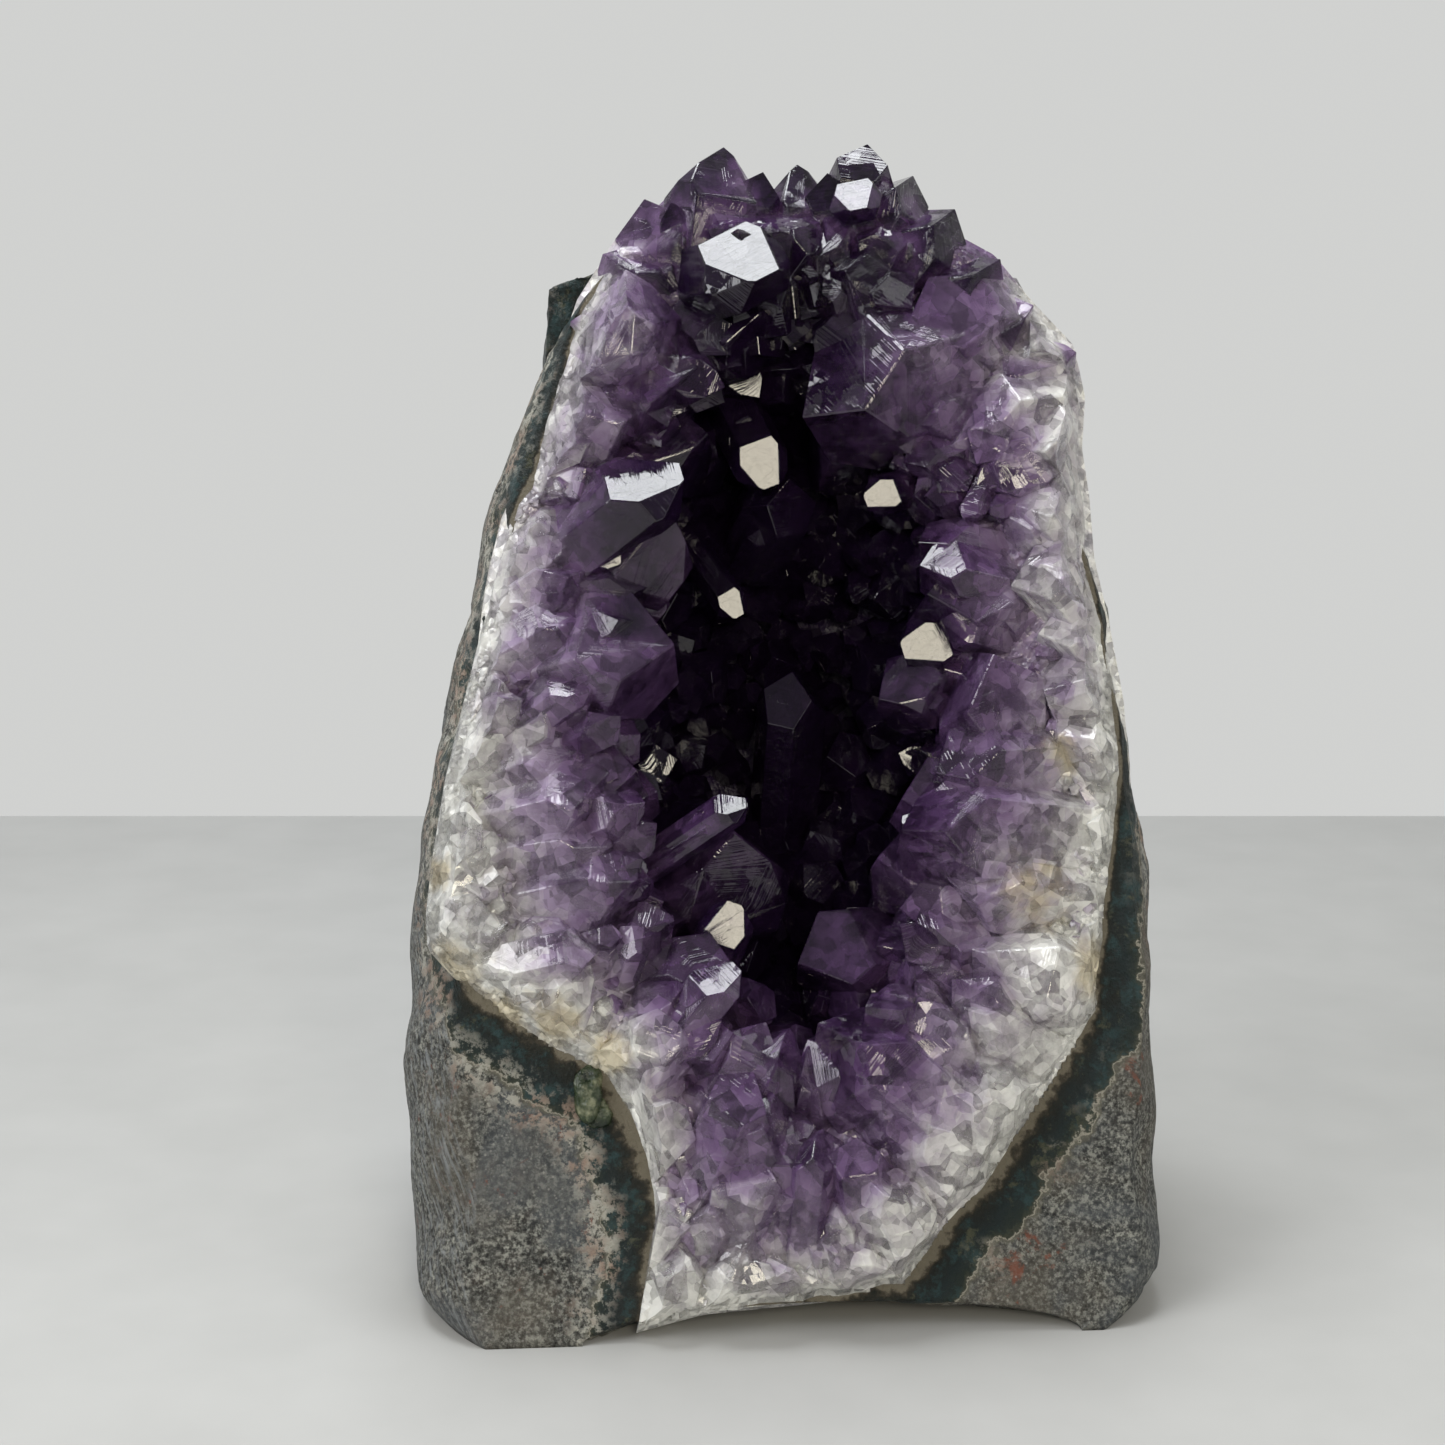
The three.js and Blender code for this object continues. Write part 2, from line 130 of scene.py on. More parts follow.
# The largest points: tip across, up and out; heading in the face, where 0 is right and 90 is up;
# rise out of the face; half width; length; and for some a tone, paler below 0 and darker above
LARGE_POINTS = [
    (-9.9, 69.5, 4, 8, 38, 6.5, 15, -0.3),
    (-9.6, 82.5, 3, 40, 50, 6, 14, -0.4),
    (-3.5, 50.8, -3, 60, 60, 8, 18),
    (3, 37.4, -4, 185, 35, 5, 12),
    (-4.4, 37.1, 1, 5, 38, 4.5, 12),
    (-2.8, 33.9, 0, 80, 80, 3.2, 9),
    (3.4, 68, -8, 88, 40, 3.6, 20),
    (3.5, 88.5, -6, 60, 60, 4, 14, -0.1),
    (0.1, 104.3, 2, 20, 60, 5, 13),
    (14.9, 102.1, 4, 190, 42, 6.5, 14, -0.05),
    (8, 90.5, -3, 225, 50, 7, 16, -0.4),
    (-6.9, 98.2, 3, 10, 42, 6.5, 14),
    (-5.7, 92.5, -2, 15, 40, 5.5, 13),
    (11.5, 64.1, 0, 195, 38, 4.2, 13),
    (22.6, 67.8, 4, 100, 50, 5.6, 12, -0.1),
    (16.6, 74.5, 3, 175, 45, 6, 13),
    (5.2, 29.7, 2, 110, 55, 5.5, 12),
    (13.6, 53.7, 1, 170, 42, 5, 13),
    (11.3, 47.9, -2, 160, 42, 5.5, 13),
    (15.8, 41.5, 1, 150, 42, 5, 13),
    (-13.8, 57, 1, 10, 42, 4.8, 13),
    (-12.8, 46.2, 0, 5, 42, 4.8, 13),
]
# The points along the top edge
CROWN_POINTS = [
    (-3, 123, -1, 82, 14, 5.2, 17),
    (12.1, 123.4, -1, 80, 14, 3.8, 17),
    (16.8, 119.7, 0, 60, 15, 3.6, 14, 0.85),
    (-11.6, 117.3, -1, 110, 18, 4.8, 14, 0.55),
    (4.8, 121.6, -2, 90, 14, 3.8, 14, 1.0),
    (0.8, 119.8, 0.5, 78, 34, 2.6, 11, 1.0),
    (7.6, 119.6, 0.8, 100, 32, 2.8, 11, 1.0),
    (-8.8, 116.4, 1.0, 115, 34, 2.6, 11),
    (15.2, 117.6, 1.0, 70, 34, 2.6, 11),
    (-7.6, 119.5, -2, 100, 20, 4, 13, 0.6),
    (8.5, 120.6, -3, 95, 14, 4, 13, 1.0),
    (20.8, 115.6, 1, 50, 25, 4.4, 14, 0.85),
    (25.3, 110, 1.5, 40, 30, 4.4, 13),
    (28.8, 105.2, 1, 30, 30, 4.2, 12),
    (33, 100.2, 1, 20, 32, 5.2, 13),
    (-16.2, 111, 0.5, 140, 30, 4.4, 12),
    (-19.5, 104, 0.5, 160, 35, 4.2, 11),
]
# Broken points of the band
BAND_POINTS = [
    (-7, 101, 2.5, -8, 12, 6, 18, -0.3),
    (-12, 95.5, 2, 20, 15, 5.5, 16, -0.35),
    (-17, 84, 1, 35, 20, 4.5, 12, -0.15),
    (-17, 78, 1, 30, 20, 4, 12, 0.05),
    (-18, 73.5, 1.5, 25, 18, 4, 13, 0),
    (-15.5, 55.5, 2, 10, 25, 5, 14, 0.15),
    (-19, 59.5, 2, 15, 30, 4, 12, 0.1),
    (-12.5, 46.5, 1.5, 10, 22, 4.5, 14, 0.1),
    (-15, 50, 1, 5, 20, 4, 13, 0),
    (-9, 30, 1.5, 30, 20, 4.5, 14, -0.05),
    (-3.7, 27.5, 1, 60, 35, 4.5, 12, 0.3),
    (4, 31, 2, 140, 12, 6, 20, 0.1),
    (12, 24, 1, 120, 15, 5, 14, -0.05),
    (0, 19, 1.5, 95, 25, 4, 12, 0.25),
    (-5, 16, 1, 75, 25, 3.5, 11, 0.1),
    (5, 13, 1, 100, 20, 3.5, 10, 0.1),
    (20, 38, 1.5, 160, 20, 5.5, 15, -0.1),
    (17, 33, 1, 150, 20, 4.5, 13, -0.1),
    (12, 50.5, 2.5, 175, 18, 6, 18, 0.1),
    (17, 46, 1.5, 170, 20, 5, 15, 0.1),
    (16, 56.5, 2, 185, 20, 4.5, 14, 0.1),
    (24, 76, 2, 180, 15, 6, 14, -0.35),
    (27, 71, 1.5, 175, 15, 5, 12, -0.3),
    (4, 93, 3, 200, 20, 7.5, 20, -0.2),
    (20, 92, 2, 190, 18, 5, 14, -0.15),
    (27, 100, 2, 200, 15, 6, 13, -0.4),
    (25, 90, 2, 185, 15, 5, 12, -0.35),
    (24, 83, 1.5, 180, 15, 5, 13, -0.3),
    (-12, 112, 1.5, -60, 15, 5, 12, -0.1),
]
# Places where the quartz is paler than its distance from the rind makes it: across, up, reach, share
PALE_PLACES = [
    (20, 46, 8, 0.3),
    (26, 73, 7, 0.2),
    (26, 98, 8, 0.1),
]
# Yellow stains in the quartz: across, up and reach
STAINS = [
    (-33, 37, 4.5),
    (-28, 32, 4),
    (-22, 32, 3.5),
    (-17, 28.5, 3),
    (27, 44, 5),
    (32, 36, 4),
    (-34, 47, 2.5),
    (30, 58, 3),
]
# Points with a broad face that mirrors a lamp: tip across, up and out; half width; length; tone;
# which lamp; and which way the point leans from its broad face, as a heading on the face
MIRROR_POINTS = [
    (-0.9, 107.6, 8.0, 4.4, 18, 0.5, "overhead", -60),
    (10.2, 115.4, 4.4, 2.4, 12, 0.5, "overhead", -80),
    (-0.2, 104.0, 2.0, 1.2, 8, 0.35, "overhead", -70),
    (-10.6, 86.6, 5.2, 4.0, 14, 0.3, "overhead", 10),
    (-3.4, 53.4, 2.2, 1.7, 17, 0.3, "overhead", 0),
    (-19.0, 66.0, 3.0, 2.4, 9, 0.1, "overhead", 10),
    (-5.0, 36.5, 2.6, 2.4, 9, 0.1, "overhead", 40),
    (0.8, 88.4, -3.5, 2.6, 12, 0.4, "warm_card", -70),
    (15.2, 69.3, 0.5, 2.5, 10, 0.3, "warm_card", 195),
    (-4.2, 42.4, -1.0, 2.3, 9, 0.4, "warm_card", 70),
    (11.6, 85.2, -0.5, 1.8, 9, 0.3, "warm_card", 200),
    (-14.4, 82.6, 3.0, 2.0, 8, 0.2, "warm_card", -10),
    (-15.4, 78.4, 2.8, 1.1, 8, 0.2, "warm_card", 0),
    (-2.6, 74.5, -6.0, 1.5, 18, 0.4, "warm_card", -60),
    (13.8, 51.4, 2.4, 1.4, 8, 0.2, "overhead", 170),
]
# Olive-green lumps: across, up and out; half the size each way
OLIVE_LUMPS = [
    (-19.0, 24.6, -0.2, 1.5, 2.6, 1.3),
    (-18.0, 22.6, -0.3, 1.3, 1.6, 1.0),
]
# The corner of rind and rock left standing at the upper left
RIND_LUMP_CORNERS = [
    (-24.6, 8, 102),
    (-18, 9, 104.2),
    (-14, 20, 103),
    (-22, 20, 99),
    (-25.4, 6.5, 91.5),
    (-26.6, 13, 88),
    (-20, 5, 86),
    (-18, 23, 84),
]
# Scattered points of the band: how many, how near the mouth, how deep in from the rind, half widths,
# rises, how far they stand out, how much their headings vary, and how clear of large points they stay
LARGE_SCATTER = (110, -3, (2.5, 90, 90), (2.6, 4.3), (12, 42), (0.6, 3.4), 24, 0.7)
SMALL_SCATTER = (190, -3, (1.5, 90, 90), (1.1, 2.3), (14, 60), (0.8, 2.8), 40, 0.9)
SUGAR_SCATTER = (1500, 1.5, (0.3, 3, 12), (0.5, 1.35), (12, 75), (0.3, 1.5), 60, 0.7)
LINING_COUNT = 430
LINING_WIDTHS = (1.3, 3.3)
LARGE_TONE = 0.04
CROWN_TONE = 0.7
# How far below a large point's tip the smaller ones beside it end, in half widths
BUNDLE_DROPS = (0.6, 1.3)
MIRROR_DROPS = (1.5, 2.2)
# How much of its fine relief a point loses that mirrors a lamp
CALM = {"overhead": 0.55, "warm_card": 0.8}

# The floor in millimetres, and the camera and lamps in metres
CAMERA_PLACE = (-0.0061, -0.2541, 0.1107)
CAMERA_LENS = 61.2
CAMERA_DIP = math.radians(12)
LAMP_TARGET = (0, 0, 0.06)
FLOOR_EDGE = [(-3000, -3000), (3000, -3000), (3000, 184), (-3000, 184)]
FLOOR_THICK = 30
ROOM_DARK = (0.17, 0.17, 0.175)
ROOM_PALE = (0.635, 0.64, 0.63)
# Each lamp's place, size, power and colour
LAMPS = {
    "overhead": ((-0.05, 0.12, 0.6), (0.3, 0.26), 2.6, (0.95, 0.98, 1.0)),
    "left_sky": ((-0.5, -0.3, 0.42), (0.35, 0.35), 2.4, (0.97, 0.98, 1.0)),
    "right_sky": ((0.5, -0.3, 0.4), (0.35, 0.35), 0.6, (0.97, 0.98, 1.0)),
    "warm_card": ((0.1, -0.62, 0.3), (0.24, 0.18), 1.55, (1.0, 0.93, 0.75)),
}
QUARTZ_IOR = 1.544
# What each crystal absorbs and how much, how clear, veiled and rough it is, and its facets' size and tilt
CRYSTALS = {
    "amethyst": ((0.5, 0.24, 0.66), 90, 0.78, 0.6, 0.03, 0.003, 0.1),
    "lavender_quartz": ((0.7, 0.52, 0.82), 45, 0.84, 0.62, 0.025, 0.003, 0.17),
    "clear_quartz": ((0.9, 0.88, 0.92), 20, 0.62, 0.5, 0.035, 0.0012, 0.5),
}


# Places, numbers and meshes
def face_axes():
    """The cut face's across, up and out directions, as the columns of a matrix."""
    c, s = math.cos(FACE_YAW), math.sin(FACE_YAW)
    cl, sl = math.cos(FACE_LEAN), math.sin(FACE_LEAN)
    return np.array([[c, -s * sl, s * cl], [s, c * sl, -c * cl], [0, cl, sl]])


AXES = face_axes()
FOOT = np.array([0, FACE_FOOT_Y, 0])


def to_part(places):
    return np.asarray(places) @ AXES.T + FOOT


def to_face(points):
    return (np.asarray(points) - FOOT) @ AXES


def smooth(low, high, value):
    share = np.clip((value - low) / (high - low), 0, 1)
    return share * share * (3 - 2 * share)


def lattice(cell, seed):
    """A repeatable number from 0 to 1 for each whole-number place."""
    n = cell.astype(np.int64)
    mixed = n[..., 0] * 374761393 + n[..., 1] * 668265263 + n[..., 2] * 1442695041 + seed * 974711
    mixed = (mixed ^ (mixed >> 13)) * 1274126177 & 0xFFFFFFFF
    return ((mixed ^ (mixed >> 16)) & 0xFFFF) / 65535


def noise(points, size, seed, octaves=3):
    """Smooth noise from -1 to 1, with features of that size."""
    total = np.zeros(len(points))
    weight, reach = 1.0, 0.0
    for octave in range(octaves):
        p = points / size * 2**octave
        base = np.floor(p)
        f = p - base
        f = f * f * (3 - 2 * f)
        value = np.zeros(len(points))
        for corner in np.ndindex(2, 2, 2):
            share = np.prod(np.where(np.array(corner), f, 1 - f), axis=-1)
            value += share * lattice(base + np.array(corner), seed + octave)
        total += weight * (2 * value - 1)
        reach += weight
        weight *= 0.5
    return total / reach


def outline_distance(places, outline):
    """How far each place is outside a closed outline on the face, below 0 when inside."""
    p = np.asarray(places)[:, :2]
    nearest = np.full(len(p), 1e9)
    inside = np.zeros(len(p), bool)
    for a, b in zip(outline, np.roll(outline, -1, axis=0)):
        edge = b - a
        share = np.clip(((p - a) @ edge) / (edge @ edge), 0, 1)
        nearest = np.minimum(nearest, np.linalg.norm(p - a - share[:, None] * edge, axis=1))
        crosses = (a[1] > p[:, 1]) != (b[1] > p[:, 1])
        slope = (b[0] - a[0]) / (b[1] - a[1]) if b[1] != a[1] else 0
        inside ^= crosses & (p[:, 0] < a[0] + slope * (p[:, 1] - a[1]))
    return np.where(inside, -nearest, nearest)


def link(name, data):
    thing = bpy.data.objects.new(name, data)
    bpy.context.scene.collection.objects.link(thing)
    return thing


def mesh_piece(name, points, faces):
    mesh = bpy.data.meshes.new(name)
    mesh.from_pydata((np.asarray(points) * MM).tolist(), [], [list(face) for face in faces])
    mesh.update()
    return link(name, mesh)


def store(piece, name, values):
    """Keeps one number per vertex for the material to read."""
    attribute = piece.data.attributes.new(name, "FLOAT", "POINT")
    attribute.data.foreach_set("value", np.asarray(values, np.float32))


def grid_faces(rows, columns):
    """Quads over rows of points, joined round into a tube."""
    i, j = (index.ravel() for index in np.indices((rows - 1, columns)))
    k = (j + 1) % columns
    return np.stack([i * columns + j, i * columns + k, (i + 1) * columns + k, (i + 1) * columns + j], 1)


def tube_faces(rows, columns):
    """A closed tube's quads with a face over each end."""
    faces = [list(face) for face in grid_faces(rows, columns)]
    last = (rows - 1) * columns
    faces.append(list(range(columns - 1, -1, -1)))
    faces.append(list(range(last, last + columns)))
    return faces


def gather(parts):
    """The points and faces of several shapes as one."""
    faces, start = [], 0
    for points, sides in parts:
        faces.extend([[start + i for i in side] for side in sides])
        start += len(points)
    return np.concatenate([points for points, _ in parts]), faces


def read(items, name):
    values = np.zeros(len(items) * 3, np.float32)
    items.foreach_get(name, values)
    return values.reshape(-1, 3)


def vertex_normals(piece):
    return read(piece.data.vertex_normals, "vector")


def coordinates(piece):
    return read(piece.data.vertices, "co") / MM


def set_coordinates(piece, points):
    piece.data.vertices.foreach_set("co", (np.asarray(points) * MM).astype(np.float32).ravel())
    piece.data.update()


def apply_modifiers(piece):
    graph = bpy.context.evaluated_depsgraph_get()
    piece.data = bpy.data.meshes.new_from_object(piece.evaluated_get(graph))
    piece.modifiers.clear()


def combine(whole, other, operation):
    """Joins another closed mesh to a piece, or keeps only what they share."""
    boolean = whole.modifiers.new("combine", "BOOLEAN")
    boolean.operation = operation
    boolean.solver = "MANIFOLD"
    boolean.object = other
    apply_modifiers(whole)
    bpy.data.objects.remove(other)


@contextmanager
def edited(piece):
    """The piece's mesh, open for changes."""
    bm = bmesh.new()
    bm.from_mesh(piece.data)
    yield bm
    bm.to_mesh(piece.data)
    bm.free()


def drop_specks(piece):
    """Deletes the loose specks that joins, cuts and remeshing leave."""
    with edited(piece) as bm:
        seen, specks = set(), []
        for first in bm.verts:
            if first in seen:
                continue
            seen.add(first)
            island = [first]
            for vert in island:
                for edge in vert.link_edges:
                    other = edge.other_vert(vert)
                    if other not in seen:
                        seen.add(other)
                        island.append(other)
            if len(island) < SPECK:
                specks.extend(island)
        bmesh.ops.delete(bm, geom=specks, context="VERTS")


# Rock
def lump(x, y, z):
    """Gentle humps from -1 to 1, the same as those of the solids."""
    k = 2 * math.pi / LUMP_SIZE
    first = np.sin(k * (x + 0.6 * y)) * np.cos(k * (0.8 * z - 0.5 * x) + 1.7)
    second = np.sin(k * (0.9 * y + 0.4 * z) + 2.3) * np.cos(k * (0.7 * x - z))
    return (first + second) / 2


def plan_at(height):
    """The nodule's half width, half depth and centre at each height."""
    rise = np.clip((height - STRAIGHT_HEIGHT) / (ROCK_HEIGHT - STRAIGHT_HEIGHT), 0, 1)
    arch = (1 - rise**1.4) ** 0.27
    foot = np.clip((EDGE_ROUND - height) / EDGE_ROUND, 0, 1)
    edge = EDGE_INSET * foot * foot
    front = FACE_FOOT_Y + height * math.tan(FACE_LEAN) - FRONT_MARGIN
    taper = (DEPTH / 2 - TOP_BACK_Y) * rise * rise + TOP_ROUND * rise**12
    back = DEPTH / 2 - taper - edge
    return (WIDTH / 2 - edge) * arch, (back - front) / 2, TOP_SHIFT * rise, (front + back) / 2


def ways_of(turn):
    return np.stack([np.cos(turn), np.sin(turn)], 1)


def circle(count):
    """Evenly spaced turns and the directions they point in."""
    turn = np.linspace(0, 2 * math.pi, count, endpoint=False)
    return turn, ways_of(turn)


def ball(rows, columns):
    """Points in rows over a ball of radius 1."""
    bends = np.linspace(-math.pi / 2, math.pi / 2, rows + 2)[1:-1]
    ways = circle(columns)[1]
    rings = [np.column_stack([np.cos(bend) * ways, np.full(columns, np.sin(bend))]) for bend in bends]
    return np.concatenate(rings)


def squarish_round(count):
    """Points evenly spaced along a rounded square from -1 to 1."""
    turn = np.linspace(0, 2 * math.pi, 8001)
    c, s = np.cos(turn), np.sin(turn)
    x = np.sign(c) * np.abs(c) ** (2 / CORNER_POWER)
    y = np.sign(s) * np.abs(s) ** (2 / CORNER_POWER)
    run = np.concatenate([[0], np.cumsum(np.hypot(np.diff(x) * WIDTH, np.diff(y) * DEPTH))])
    even = np.linspace(0, run[-1], count, endpoint=False)
    return np.interp(even, run, x), np.interp(even, run, y)


def make_chip():
    """The shallow hollow broken out under the front."""
    places = ball(*CHIP_GRID)[:, [0, 2, 1]] * [1, 1, -1] * FOOT_CHIP_REACH + FOOT_CHIP_CENTRE
    return mesh_piece("chip", to_part(places), tube_faces(*CHIP_GRID))


def saw_and_grind(points):
    """Flattens the nodule to its cut face, its ground left foot and its sawn base."""
    out = to_face(points)[:, 2]
    points = points.copy()
    points[:, 1] += np.maximum(out, 0) / -AXES[1, 2]
    bevel = math.cos(LEFT_BEVEL_HEADING) * AXES[:, 0] + math.sin(LEFT_BEVEL_HEADING) * AXES[:, 1]
    past = (points - FOOT) @ bevel - LEFT_BEVEL_DISTANCE
    points -= np.maximum(past, 0)[:, None] * bevel
    points[:, 2] = np.maximum(points[:, 2], 0)
    return points


def narrow_upward(points):
    """Draws the rock's sides in a little higher up, where the quartz hides them."""
    z = points[:, 2]
    left = 0.9 * smooth(52, 62, z) + 0.7 * smooth(78, 90, z)
    right = 0.8 * smooth(38, 46, z) + 0.9 * smooth(55, 68, z)
    inset = np.where(points[:, 0] < 0, left, right)
    points[:, 0] *= 1 - inset / 36
    return points


def make_rock():
    rings, around = ROCK_GRID
    across, back = squarish_round(around)
    share = np.linspace(0, 1, rings)
    heights = ROCK_HEIGHT * (1 - (1 - share) ** 1.25)
    half_width, half_depth, x_middle, y_middle = plan_at(np.minimum(heights, ROCK_HEIGHT - 0.05))
    x = x_middle[:, None] + half_width[:, None] * across
    y = y_middle[:, None] + half_depth[:, None] * back
    z = np.repeat(heights[:, None], around, axis=1)
    bump = 1 - LUMP_DEPTH * (1 + lump(x, y, z)) / (WIDTH / 2)
    x = x_middle[:, None] + (x - x_middle[:, None]) * bump
    y = y_middle[:, None] + (y - y_middle[:, None]) * bump
    side = np.stack([x, y, z], -1)
    base = [side[0] * [s, s, 0] for s in np.linspace(0.02, 0.97, CAP_ROWS)]
    top_centre = np.array([x_middle[-1], y_middle[-1], heights[-1]])
    top = [top_centre + (side[-1] - top_centre) * [s, s, 0] for s in np.linspace(0.9, 0.02, TOP_ROWS)]
    rows = base + list(side) + top
    points = saw_and_grind(narrow_upward(np.concatenate(rows)))
    piece = mesh_piece("basalt_rock", points, tube_faces(len(rows), around))
    combine(piece, make_chip(), "DIFFERENCE")
    roughen_rock(piece)
    cut_quartz_room(piece)
    return piece


def rind_depth(points):
    """How deep in the rock a point lies, counted from the quartz on the face and behind it."""
    places = to_face(points)
    flat = outline_distance(places, QUARTZ_OUTLINE)
    behind = np.minimum(places[:, 2] + 0.6, 0)
    wrapped = np.hypot(np.maximum(flat, 0), 0.55 * behind)
    wrapped += 2.2 * smooth(0, -0.8, behind)
    flat = flat + 1.6 * smooth(28, 42, places[:, 1]) * smooth(-0.5, 0.3, flat)
    return np.where(behind < 0, np.maximum(wrapped, flat), flat)


def ground_share(points, normals):
    """1 on the ground left foot, where saw marks show, falling to 0 away from it."""
    return smooth(52, 34, points[:, 2]) * smooth(-0.45, -0.7, normals[:, 0] + 0.4 * normals[:, 1])


def roughen_rock(piece):
    points = coordinates(piece)
    normals = vertex_normals(piece)
    out = to_face(points)[:, 2]
    sawn = np.maximum(smooth(-1.5, -0.3, out), smooth(0.6, 0.1, points[:, 2]))
    ground = ground_share(points, normals)
    natural = (1 - sawn) * (1 - 0.6 * ground)
    store(piece, "ground", ground)
    store(piece, "side", smooth(-0.5, -3, out))
    coarse = noise(points, 9, 1, 4)
    pits = np.minimum(noise(points, 2.6, 9, 3), 0)
    depth = natural * (0.7 * coarse - 0.8 * pits - 0.2) + 0.05 * (1 + noise(points, 1.2, 5, 2))
    depth *= smooth(0, 0.4, points[:, 2])
    set_coordinates(piece, points - normals * depth[:, None])


def cut_quartz_room(piece):
    """Takes away the rock's skin over the quartz, and keeps each vertex's depth in the rind."""
    points = coordinates(piece)
    places = to_face(points)
    covered = (outline_distance(places, QUARTZ_OUTLINE) < -1.2) & (places[:, 2] > -0.9)
    store(piece, "rind", rind_depth(points))
    with edited(piece) as bm:
        bm.verts.ensure_lookup_table()
        bmesh.ops.delete(bm, geom=[bm.verts[i] for i in np.nonzero(covered)[0]], context="VERTS")
    piece.data.shade_smooth()


# Quartz bed and the hollow's wall
def from_hollow(places):
    """Distances from the middle of the hollow's mouth, and the turns there."""
    flat = places[:, :2] - HOLLOW_CENTRE[:2]
    return np.linalg.norm(flat, axis=1), np.arctan2(flat[:, 1], flat[:, 0])


def mouth_radius(turn):
    """How far the hollow's mouth reaches from its middle in each direction."""
    return 1 / np.hypot(np.cos(turn) / HOLLOW_REACH[0], np.sin(turn) / HOLLOW_REACH[1])


def outline_radius(turn):
    """How far the quartz reaches from the hollow's centre in each direction."""
    ways = ways_of(turn)
    reach = np.zeros(len(turn))
    centre = HOLLOW_CENTRE[:2]
    for a, b in zip(QUARTZ_OUTLINE, np.roll(QUARTZ_OUTLINE, -1, axis=0)):
        edge = b - a
        cross = ways[:, 0] * edge[1] - ways[:, 1] * edge[0]
        to_a = a - centre
        run = (to_a[0] * edge[1] - to_a[1] * edge[0]) / cross
        along = (to_a[0] * ways[:, 1] - to_a[1] * ways[:, 0]) / cross
        hit = (along >= 0) & (along <= 1) & (run > 0)
        reach = np.where(hit, np.maximum(reach, run), reach)
    return reach


def bed_height(inside, to_mouth):
    """How far the quartz stands out of the face, by distance in from the rind and from the hollow."""
    edge = -1.2 + 1.6 * smooth(0, 2.5, inside)
    return edge - 1.6 * smooth(5, 0, to_mouth)


def make_quartz_bed():
    rows, around = BED_GRID
    turn, ways = circle(around)
    inner, outer = mouth_radius(turn), outline_radius(turn) + 0.8
    places = []
    for share in np.linspace(0, 1, rows):
        run = inner + (outer - inner) * share
        flat = HOLLOW_CENTRE[:2] + ways * run[:, None]
        height = bed_height(outer - run, run - inner)
        places.append(np.column_stack([flat, height]))
    places = np.concatenate(places)
    run, turn = from_hollow(places)
    columns = np.column_stack([ways_of(turn) * 26, run / 5])
    ridges = np.abs(noise(columns, 1.6, 31, 3))
    crumbs = noise(places, 1.1, 33, 3)
    inside = -outline_distance(places, QUARTZ_OUTLINE)
    shown = smooth(0, 1.5, inside)
    places[:, 2] += shown * (1.1 * ridges + 0.5 * crumbs - 0.3)
    under = smooth(12, 7, places[:, 1]) * smooth(1.6, 0, inside)
    places[:, 2] -= 7 * under
    places[:, 1] += 1.2 * under
    outward = smooth(1.5, 0, inside) * smooth(-28, -33, places[:, 0])
    places[:, 0] += 1.8 * outward
    piece = mesh_piece("quartz_bed", to_part(places), grid_faces(rows, around))
    store_quartz(piece)
    return piece


def make_hollow_wall():
    rows, around = WALL_GRID
    turn, ways = circle(around)
    places = []
    for share in np.linspace(0.01, 1, rows):
        bend = share * math.pi / 2
        flat = mouth_radius(turn) * 1.02 * math.sin(bend)
        out = np.full(around, -HOLLOW_REACH[2] * math.cos(bend) - 1.2)
        places.append(np.column_stack([HOLLOW_CENTRE[:2] + ways * flat[:, None], out]))
    places = np.concatenate(places)
    inward = HOLLOW_CENTRE - places
    inward /= np.linalg.norm(inward, axis=1)[:, None]
    places += inward * (0.8 * noise(places, 3, 41, 3))[:, None]
    return mesh_piece("hollow_wall", to_part(places), grid_faces(rows, around))


# Crystal points
def leaning(turn, lean):
    """A direction at a turn about the long axis and a lean away from it."""
    return math.cos(turn) * math.sin(lean), math.sin(turn) * math.sin(lean), math.cos(lean)


def point_planes(rng, six_tips, breaks):
    """A point of half width 1 with its tip at the origin, its length down -Z and its tip chipped."""
    planes = []
    for i in range(6):
        turn = i * math.pi / 3
        planes.append((Vector((math.cos(turn), math.sin(turn), 0)), rng.uniform(0.86, 1.08)))
        lower = rng.uniform(0.0, 0.06) if i % 2 == 0 else rng.uniform(0.08, 0.34)
        if six_tips or i % 2 == 0:
            planes.append((Vector(leaning(turn, TIP_ANGLE)), lower))
    for _ in range(breaks):
        lean, turn = rng.uniform(0.1, 0.75), rng.uniform(0, 2 * math.pi)
        planes.append((Vector(leaning(turn, lean)), -rng.uniform(0.05, 0.5)))
    return planes


def broad_planes():
    """A point of half width 1 whose first tip face is much the largest."""
    planes = []
    for i in range(6):
        turn = i * math.pi / 3
        planes.append((Vector((math.cos(turn), math.sin(turn), 0)), 0.9 + 0.1 * (i % 3)))
        planes.append((Vector(leaning(turn, TIP_ANGLE)), (0, 0.42, 0.6, 0.5, 0.66, 0.36)[i]))
    return planes


def point_corners(planes, length):
    """Where three of the planes meet on the point's surface."""
    planes = planes + [(Vector((0, 0, -1)), length)]
    corners = []
    for (a, p), (b, q), (c, r) in itertools.combinations(planes, 3):
        volume = a.dot(b.cross(c))
        if abs(volume) < 1e-6:
            continue
        corner = (b.cross(c) * p + c.cross(a) * q + a.cross(b) * r) / volume
        if all(n.dot(corner) <= d + 1e-6 for n, d in planes):
            if all((corner - other).length > 0.004 for other in corners):
                corners.append(corner)
    return corners


